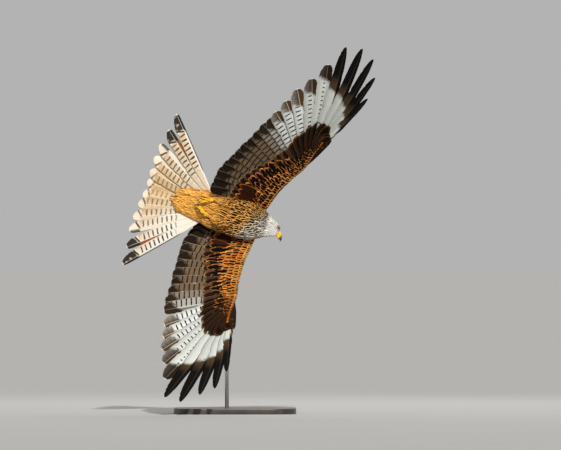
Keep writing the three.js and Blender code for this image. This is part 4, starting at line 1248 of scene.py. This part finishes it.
def tailFinishOf():
    # below: cream, whiter outward, with bars on the inner web, a dark end on the outer feathers and a narrow
    # line before the others' tips; above: rufous with the same bars
    f = Finish("tail_feathers", tailTones, Roughness=0.7, Specular_IOR_Level=0.1)
    w, t = f.vane()
    side = f.unsigned(w)
    rank, seed, end, span = [f.number(key) for key in ("rank", "seed", "fromTip", "span")]
    wobble = f.noise(90) - 0.5
    ground = f.blend("inner", "outer", f.ease(0.0, 0.8, rank + wobble * 0.5))
    warm = f.ease(0.15, 0.0, f.unsigned(rank - 0.8)) * 0.9 + 0.08
    stripe = f.ease(0.03, 0.12, w) * f.ease(0.2, 0.3, t)
    ground = f.blend(ground, "orange", stripe * warm * f.ease(1.0, 0.85, rank))
    outward = f.ease(170.0, 20.0, end + wobble * 40) * f.ease(0.5, -0.6, w)
    ground = f.blend(ground, "warm", outward * 0.5)
    # painted shade along the inner edge, where the neighbouring feather overlaps
    overlapShade = f.ease(-0.62, -0.98, w + wobble * 0.2) * f.ease(160.0, 20.0, end)
    ground = f.blend(ground, "shaded", overlapShade * 0.55)
    # painted shade: the bird's right half of the fan, lit less, darker tan
    ground = f.blend(ground, "halfShade", f.number("shadedHalf") * f.ease(0.4, -0.5, w + wobble) * 0.6)
    step = f.maths("FRACT", (span + side * 5 + wobble * 7) / tailTones["spacing"] + seed)
    bar = f.ease(0.21, 0.12, f.unsigned(step - 0.5)) * f.ease(0.25, 0.36, t)
    bar = bar * f.ease(-0.02, -0.1, w) * f.ease(-0.96, -0.76, w + wobble * 0.3)
    bar = bar * f.ease(0.0, 0.25, rank + seed * 0.2)
    reach = rank * rank * 44 + 24
    bar = bar * f.ease(5.0, 9.0, end - reach)
    ground = f.blend(ground, "edge", f.ease(2.0, -6.0, end - reach + w * 6) * 0.5)
    under = f.blend(ground, "bar", bar * mix(0.55, 0.95, rank))
    band = f.ease(0.0, 1.0, (reach - end + wobble * 16 + w * 8) / 9)
    narrow = f.ease(4.4, 2.4, f.unsigned(end - reach - w * 9 + wobble * 5)) * f.ease(0.35, 0.0, w)
    band = f.larger(band * f.ease(0.56, 0.68, rank + w * 0.14), narrow)
    fleck = f.ease(0.56, 0.72, f.noise(70, 3.0)) * f.ease(0.6, 0.0, w) * 0.6
    band = band * f.ease(2.0, 6.0, end) * (1 - fleck)
    under = f.blend(under, "tip", band * mix(0.75, 0.97, f.ease(0.3, 0.8, rank)))
    outerEdge = f.ease(0.4, 0.6, w) * f.ease(0.9, 1.0, rank) * f.ease(0.2, 0.3, t)
    under = f.blend(under, "tip", outerEdge * 0.9)
    upper = f.blend("upper", "upperInner", f.ease(0.0, -0.8, w) * 0.5)
    upper = f.blend(upper, "tip", f.larger(bar * 0.6, band))
    colour = f.blend(under, upper, f.ease(0.49, 0.51, f.number("dorsal")))
    rim = f.larger(f.ease(4.5, 1.5, end), f.ease(0.92, 0.99, w * -1) * 0.6)
    colour = f.blend(colour, "edge", rim * 0.8)
    colour = f.blend(colour, "edge", f.ease(0.05, 0.02, side) * 0.6)
    f.colour(toned(f, colour, 0.16))
    barb = f.maths("SINE", (span - side * 18) * 2.4)
    f.bump(barb * 0.35 + f.ease(0.08, 0.0, side) * 2, 0.3, 0.0005)
    return f


bodyFinish, headFinish = contourFinish("body_feathers", 0.6), contourFinish("head_feathers", 0.6)
covertFinish, greaterFinish = contourFinish("wing_coverts", 0.72), contourFinish("greater_coverts", 0.86, 0)
flightFinish, tailFinish, skinFinish = flightFinishOf(), tailFinishOf(), skinFinishOf()

bothWings = [Wing("right"), Wing("left")]
for wing in bothWings:
    start = f"wing_{wing.name}_"
    flightPiece(wing).piece(start + "flights", flightFinish, "wing_feathers", True)
    for face, where in ((1, "over"), (-1, "under")):
        greaterPiece(wing, face).piece(start + "greater_" + where, greaterFinish, "wing_feathers", True)
        covertPiece(wing, face).piece(start + "coverts_" + where, covertFinish, "wing_feathers")
    alulaPiece(wing).piece(start + "alula", greaterFinish, "wing_feathers", True)
    axillaryPiece(wing).piece(start + "axillaries", greaterFinish, "wing_feathers", True)
print("wings done")
tailPiece().piece("tail_fan", tailFinish, "tail_feathers", True)
bodyPieces()
thighPiece().piece("thigh_coat", bodyFinish, "body_feathers")
skinPiece()
print("coat done")

# bill: cuts from the face to the hooked tip in the head's frame
bill = {
    "upper": np.array([  # x, z, half width, up, down
        [26, -2.4, 9.9, 10.2, 4.6], [33, -3, 8.4, 9.2, 4.6], [40, -5, 6.6, 8, 4.4], [47, -8.6, 4.8, 6.6, 4],
        [52.4, -13.5, 2.9, 4.4, 3.4], [54, -20, 0.9, 0.9, 0.9]]),
    "lower": np.array([
        [26, -7.3, 8.8, 0.4, 8.4], [34, -8, 7.2, 0.4, 7.4], [41, -10, 5.2, 0.4, 5.4],
        [46.5, -13.4, 2.8, 0.3, 2.6]]),
    "nostril": np.array([33, 8.4, 1.2]), "nostrilSize": np.array([2.2, 9, 1.2]), "nostrilDepth": 2.2,
    "swell": 0.5,  # height of the yellow skin at the base over the horn
    "rows": 44, "sides": 40,
    "horn": "2f2a27", "base": "8c8578", "yellow": "f8c012", "hollow": "2a1c08",
    # the lips' line behind the bill's corner, for the upper and the lower one
    "gape": [(14.5, 16.6, -6.6), (21, 14.2, -7.4), (28, 9.6, -6.8)], "lipLifts": (0.9, -1.0),
    "lipRadii": [0.4, 0.8, 1.05, 1.1, 0.9], "lip": "f2b81e", "lipShade": "d98f12",
}


def billPiece(half, finish):
    # ovals along the cuts; the upper one has its nostrils pressed in and its base swollen
    rings = np.array([oval(x, 0, z, wide, up, down, bill["sides"], 0.86)
                      for x, z, wide, up, down in eased(bill[half], bill["rows"])])
    if half == "upper":
        for side in (-1, 1):
            away = np.linalg.norm((rings - bill["nostril"] * [1, side, 1]) / bill["nostrilSize"], axis=-1)
            pressed = bill["nostrilDepth"] * np.exp(-away ** 2 * 1.6) * (np.sign(rings[..., 1]) == side)
            rings[..., 1] -= side * pressed
        swell = bill["swell"] * smooth(38, 35, rings[..., :1]) - 0.1
        rings = rings + unit(rings - rings.mean(1, keepdims=True)) * swell
    numbers = {"forward": rings[..., 0], "height": rings[..., 2]}
    piece = tubePiece(f"bill_{half}_horn", headToBird(rings)[None], finish, numbers)
    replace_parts(piece, "bill_" + half)


def billFinishOf():
    # yellow skin at the base, then grey horn that darkens to the tip, with painted shade in the nostrils'
    # openings
    f = Finish("bill_horn", bill, Roughness=0.35, Coat_Weight=0.25, Coat_Roughness=0.25)
    forward = f.number("forward")
    wobble = f.noise(220) - 0.5
    horn = f.blend("base", "horn", f.ease(39.0, 47.0, forward + wobble * 3))
    colour = f.blend("yellow", horn, f.ease(36.0, 39.0, forward + wobble * 1.5))
    # painted shade in each nostril's opening
    beside = f.unsigned(forward - bill["nostril"][0])
    above = f.unsigned(f.number("height") - bill["nostril"][2])
    f.colour(f.blend(colour, "hollow", f.ease(2.6, 0.6, beside + above * 1.7) * 0.9))
    f.feed("Roughness", f.ease(34.0, 42.0, forward) * -0.2 + 0.5)
    f.bump(f.noise(500, 3.0), 0.15, 0.0004)
    return f


def jawFinishOf():
    f = Finish("bill_jaw", bill, Roughness=0.4, Coat_Weight=0.2, Coat_Roughness=0.3)
    dark = f.ease(38.0, 44.0, f.number("forward") + (f.noise(220) - 0.5) * 3)
    f.colour(f.blend("yellow", "horn", dark))
    f.bump(f.noise(500, 3.0), 0.15, 0.0004)
    return f


def gapePiece():
    # the yellow lips run back from the bill's corner to under the eye, close together at their hind end
    (backX, backY, backZ), *front = bill["gape"]
    tubes = []
    for side in (-1, 1):
        for lift in bill["lipLifts"]:
            points = [(backX, side * backY, backZ + lift * 0.3)]
            points += [(x, side * y, z + lift) for x, y, z in front]
            tubes.append(limbRings(points, bill["lipRadii"], 24, 14))
    f = Finish("gape_skin", bill, Roughness=0.45, Coat_Weight=0.15)
    f.colour(f.blend("lip", "lipShade", f.noise(260)))
    f.bump(f.noise(600), 0.2, 0.0003)
    tubePiece("gape", headToBird(np.array(tubes)), f)


billPiece("upper", billFinishOf())
billPiece("lower", jawFinishOf())
gapePiece()

eyes = {
    "gaze": np.array([0.3, 0.93, 0.05]), "pupilSize": 26, "irisSize": (47.0, 52.0),  # degrees off the gaze
    "ball": 0.985, "cornea": 0.035, "corneaSize": 34,  # the cornea stands a little proud
    "iris": "cfae5a", "irisEdge": "8a6a2c", "pupil": "060505", "rim": "1a120c",
    "lid": "4a3f2e", "lidShade": "2a221a",
    "opening": 46, "sideCut": 5, "topCut": 4,  # the lids' almond opening in degrees, less at sides and top
    "lidSection": np.array([  # degrees past the opening, height over the ball
        [8, -0.5], [2, 0.0], [0, 0.3], [2, 0.65], [6, 0.8], [12, 0.75], [20, 0.4], [34, -0.3], [42, -1.4],
        [26, -1.6]]),
}


def aboutGaze(side, polar, turn, radius):
    # the head's points at an angle from the gaze, a turn round it and a distance from the eye's middle
    gaze = unit(eyes["gaze"] * [1, side, 1])
    aside = unit(np.cross(gaze, [0, 0, 1.0]))
    up = np.cross(aside, gaze)
    ring = np.cos(turn)[..., None] * aside + np.sin(turn)[..., None] * up
    along, out = np.cos(polar) * radius, np.sin(polar) * radius
    return along[..., None] * gaze + out[..., None] * ring + head["eye"] * [1, side, 1]


def eyePiece(name, side):
    # rings about the gaze from the cornea's middle back
    polar = np.radians(np.linspace(0.5, 179.5, 40))[:, None]
    turn = np.linspace(0, 2 * np.pi, 48, endpoint=False)[None]
    bulge = eyes["cornea"] * np.exp(-(polar / np.radians(eyes["corneaSize"])) ** 4)
    rings = aboutGaze(side, polar, turn, head["eyeRadius"] * (eyes["ball"] + bulge))
    numbers = {"polar": np.degrees(np.broadcast_to(polar, rings.shape[:2]))}
    piece = tubePiece(f"{name}_ball", headToBird(rings)[None], eyeFinish, numbers)
    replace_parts(piece, name)


def eyeFinishOf():
    f = Finish("eye_glass", eyes, Roughness=0.08, Coat_Weight=1.0, Coat_Roughness=0.02)
    polar, pupil = f.number("polar"), eyes["pupilSize"]
    rays = f.noise(60, 4.0, f.stretch((9.0, 9.0, 9.0)))
    iris = f.blend("iris", "irisEdge", f.ease(30.0, 50.0, polar) * 0.8 + rays * 0.3)
    colour = f.blend("pupil", iris, f.ease(pupil - 1.0, pupil + 1.0, polar))
    f.colour(f.blend(colour, "rim", f.ease(*eyes["irisSize"], polar)))
    return f


def lidsPiece():
    # a closed rim round each eye: a small loop of section carried round the almond opening
    f = Finish("lid_skin", eyes, Roughness=0.5)
    f.colour(f.blend("lid", "lidShade", f.noise(300, 3.0)))
    f.bump(f.noise(700), 0.3, 0.0003)
    turn = np.linspace(0, 2 * np.pi, 56, endpoint=False)[:, None]
    opening = eyes["opening"] - eyes["sideCut"] * np.abs(np.sin(turn)) ** 1.5
    opening = opening - eyes["topCut"] * np.clip(np.sin(turn), 0, 1)
    degrees, height = eyes["lidSection"].T
    points, faces, start = [], [], 0
    for side in (-1, 1):
        rings = aboutGaze(side, np.radians(opening + degrees), turn, head["eyeRadius"] + height)
        index = np.arange(rings.shape[0] * rings.shape[1]).reshape(rings.shape[:2])
        beside, ahead = np.roll(index, -1, 1), np.roll(index, -1, 0)
        quads = np.stack([index, beside, np.roll(beside, -1, 0), ahead], -1).reshape(-1, 4)
        flat = rings.reshape(-1, 3)
        p = flat[quads]
        middle = p.mean(1) - head["eye"] * [1, side, 1]
        normal = np.cross(p[:, 2] - p[:, 0], p[:, 3] - p[:, 1])
        outer = np.linalg.norm(middle, axis=1) > head["eyeRadius"] + 0.5
        if (middle[outer] * normal[outer]).sum() < 0:  # faces point outward
            quads = quads[:, ::-1]
        points.append(headToBird(flat))
        faces.append(quads + start)
        start += len(flat)
    points, faces = birdToWorld(np.concatenate(points)), [np.concatenate(faces)]
    finishMesh("eyelids", points, faces, {}, {}, f)


eyeFinish = eyeFinishOf()
eyePiece("eye_right", -1)
eyePiece("eye_left", 1)
lidsPiece()
print("head done")

feet = {
    "front": (-108, 31), "back": (-162, 9), "toeRadius": 3.4, "belly": 3,  # x and y, and the gap to the belly
    "knuckle": (0.35, 0, 0.5),  # share of the way back, across and lift
    "shank": [4.6, 4.2, 3.8, 4.0, 4.4], "toeTaper": np.array([1, 1, 0.95, 0.85, 0.62]),
    "knots": 4, "knotRise": 0.09,
    "clawLength": 14, "clawTaper": np.array([0.62, 0.55, 0.42, 0.25]), "clawTip": 0.12,
    "skin": "ffd01c", "skinShade": "f8b810", "seam": "dc9c10", "horn": "171412", "hornPale": "4a423a",
}


def footLayout(side):
    # ankle, knuckle and toes folded back along the belly
    (frontX, frontY), (backX, backY) = feet["front"], feet["back"]
    cuts = torso["sections"]
    depth = np.interp(frontX, cuts[:, 0], cuts[:, 2] - cuts[:, 5]) - feet["toeRadius"] - feet["belly"]

    def at(t, across, lift):
        return np.array([mix(frontX, backX, t), side * (mix(frontY, backY, t) + across), depth + lift])

    toes = [[at(*feet["knuckle"]), at(0.65, 1 + i * 5.5, -1.2), at(1 if i == 0 else 0.84, 2 + i * 7, 1.5)]
            for i in (-1, 0, 1)]
    toes.append([at(0.35, 1, -1), at(0.5, 5, -5), at(0.66, 6, -6)])
    return at(0, 0, 0), at(*feet["knuckle"]), toes


def footFinishOf():
    # yellow scales with darker seams
    f = Finish("foot_skin", feet, Roughness=0.5, Specular_IOR_Level=0.4)
    cells = {"Vector": f.place(), "Scale": 520.0}
    seam = f.ease(0.0, 0.12, f.node("ShaderNodeTexVoronoi", {"feature": "DISTANCE_TO_EDGE"}, cells))
    f.colour(f.blend("seam", f.blend("skin", "skinShade", f.noise(160)), seam))
    f.bump(seam + f.noise(90) * 0.5, 0.6, 0.0008)
    return f


def footPieces():
    # a shank and four knotted toes to a foot, with a claw that goes on from each toe and bends down
    scales = footFinishOf()
    horn = Finish("claw_horn", feet, Roughness=0.28, Coat_Weight=0.3, Coat_Roughness=0.15)
    horn.colour(horn.blend("horn", "hornPale", horn.ease(0.55, 0.8, horn.noise(120, 3.0)) * 0.6))
    radius, length = feet["toeRadius"], feet["clawLength"]
    knots = 1 + feet["knotRise"] * np.cos(np.linspace(0, feet["knots"] * 2 * np.pi, 40))[:, None, None]
    for name, side in (("right", -1), ("left", 1)):
        ankle, knuckle, toes = footLayout(side)
        tubes = [limbRings([ankle - [18, 0, -4], mix(ankle, knuckle, 0.4), knuckle], feet["shank"], 40, 20)]
        for toe in toes:
            rings = limbRings(toe, radius * feet["toeTaper"], 40, 20)
            middle = rings.mean(1, keepdims=True)
            tubes.append(middle + (rings - middle) * knots)
        piece = tubePiece(f"foot_{name}_skin", np.array(tubes), scales)
        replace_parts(piece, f"foot_{name}")
        for i, (_, middle, tip) in enumerate(toes):
            ahead = unit(tip - middle)
            bent = tip + ahead * length * 0.5 + [0, 0, -0.6]
            end = tip + ahead * length * 0.95 + [0, 0, -length * 0.4]
            radii = [*(radius * feet["clawTaper"]), feet["clawTip"]]
            rings = limbRings([tip - ahead * 1.5, bent, end], radii, 30, 18)
            made = tubePiece(f"claw_{name}_{i + 1}_horn", rings[None], horn)
            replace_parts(made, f"claw_{name}_{i + 1}")


footPieces()

# display stand, in the world's millimetres
stand = {
    "x": 440, "y": 400, "height": 20, "corner": 90, "edge": 3.0,
    "post": (-30, 128), "postRadius": 7, "armRadius": 6, "armHeight": 699, "overArm": 6,
    "board": "2b2622", "boardPale": "4a4038", "steel": "9b9c9e", "steelPale": "c6c7c9",
}


def boardRings():
    # a rounded rectangle drawn in by each step of its edge's profile, less at the foot than at the top
    turn = np.linspace(0, 2 * np.pi, 144, endpoint=False)
    corner, edge, height = stand["corner"], stand["edge"], stand["height"]
    centre = np.stack([np.sign(np.cos(turn)) * (stand["x"] / 2 - corner),
                       np.sign(np.sin(turn)) * (stand["y"] / 2 - corner)], -1)
    outline = centre + corner * np.stack([np.cos(turn), np.sin(turn)], -1)
    inward = -unit(outline - centre * 0.999)
    steps, foot = np.linspace(0, np.pi / 2, 7), edge * 0.4
    profile = [(8.0, 0.0)]
    profile += [(foot * (1 - np.sin(a)), foot * (1 - np.cos(a))) for a in steps]
    profile += [(edge * (1 - np.cos(a)), height - edge + edge * np.sin(a)) for a in steps]
    profile += [(30.0, height), (80.0, height)]
    return np.array([np.concatenate([outline + inward * inset, np.full((144, 1), z)], 1)
                     for inset, z in profile])


def standPieces():
    board = Finish("base_board", stand, Roughness=0.38, Coat_Weight=0.2, Coat_Roughness=0.3)
    grain = board.noise(6.0, 4.0, board.stretch((1.0, 14.0, 1.0)))
    board.colour(board.blend("board", "boardPale", board.ease(0.35, 0.7, grain)))
    board.bump(grain, 0.08, 0.001)
    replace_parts(tubePiece("base_board", boardRings()[None], board, world=True), "stand_base")
    steel = Finish("rod_steel", stand, Metallic=1.0, Roughness=0.3)
    brushed = steel.noise(40.0, 3.0, steel.stretch((30.0, 30.0, 1.0)))
    steel.colour(steel.blend("steel", "steelPale", brushed))
    steel.feed("Roughness", brushed * 0.15 + 0.22)
    turn = np.linspace(0, 2 * np.pi, 48, endpoint=False)
    side, rise, ones = np.cos(turn), np.sin(turn), np.ones(48)
    (px, py), r, foot = stand["post"], stand["postRadius"], stand["height"] + 0.3
    top = stand["armHeight"] + stand["armRadius"] + stand["overArm"]
    heights = [(r - 0.2, foot), (r, foot + 0.3), (r, top - 1.2), (r - 0.35, top - 0.35), (r - 1.2, top)]
    post = np.array([np.stack([px + q * side, py + q * rise, z * ones], -1) for q, z in heights])
    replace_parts(tubePiece("post_steel", post[None], steel, world=True), "stand_post")
    r, ends = stand["armRadius"], [corner.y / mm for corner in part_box("stand_arm")]
    arm = np.array([np.stack([px + r * side, y * ones, stand["armHeight"] + r * rise], -1) for y in ends])
    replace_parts(tubePiece("arm_steel", arm[None], steel, world=True), "stand_arm")


standPieces()
print("stand done")

studio = {  # metres; each light's place, what it shines at, power, size or angle, and colour
    "floor": 120.0, "paper": "acacab", "paperPale": "b2b2b1", "air": (0.9, 0.9, 0.9, 1), "airPower": 0.5,
    "lights": {"key": ("SUN", (0.6, -4.2, 3.35), 3.4, 0.03), "rim": ("AREA", (0.6, 2.6, 3.2), 40, 2.0)},
    "aim": (0, 0, 0.7), "warmth": (1.0, 0.97, 0.92),
    "camera": (0.1637, -40, 0.6788), "lens": 713.0,
}


def stage():
    # pale floor, soft light from above and before the bird, and a camera level with its middle
    s = studio["floor"]
    mesh = bpy.data.meshes.new("floor")
    mesh.from_pydata([(-s, -s, 0), (s, -s, 0), (s, s, 0), (-s, s, 0)], [], [(0, 1, 2, 3)])
    f = Finish("floor_paper", studio, Roughness=0.9)
    f.colour(f.blend("paper", "paperPale", f.noise(1.5)))
    mesh.materials.append(f.material)
    sceneObject("floor", mesh)
    world = bpy.data.worlds.new("studio")
    bpy.context.scene.world = world
    world.use_nodes = True
    air = world.node_tree.nodes["Background"].inputs
    air[0].default_value, air[1].default_value = studio["air"], studio["airPower"]
    for name, (kind, place, power, size) in studio["lights"].items():
        data = bpy.data.lights.new(name, kind)
        data.energy, data.color = power, studio["warmth"]
        if kind == "AREA":
            data.size = size
        else:
            data.angle = size
        lamp = sceneObject(name, data)
        lamp.location = place
        toward = Vector(studio["aim"]) - Vector(place)
        lamp.rotation_euler = toward.to_track_quat("-Z", "Y").to_euler()
    camera = bpy.data.cameras.new("camera")
    camera.lens, camera.sensor_width, camera.clip_end = studio["lens"], 36, 300
    viewer = sceneObject("camera", camera)
    viewer.location = studio["camera"]
    viewer.rotation_euler = (np.pi / 2, 0, 0)
    bpy.context.scene.camera = viewer
    bpy.context.scene.view_settings.view_transform = "Standard"


stage()
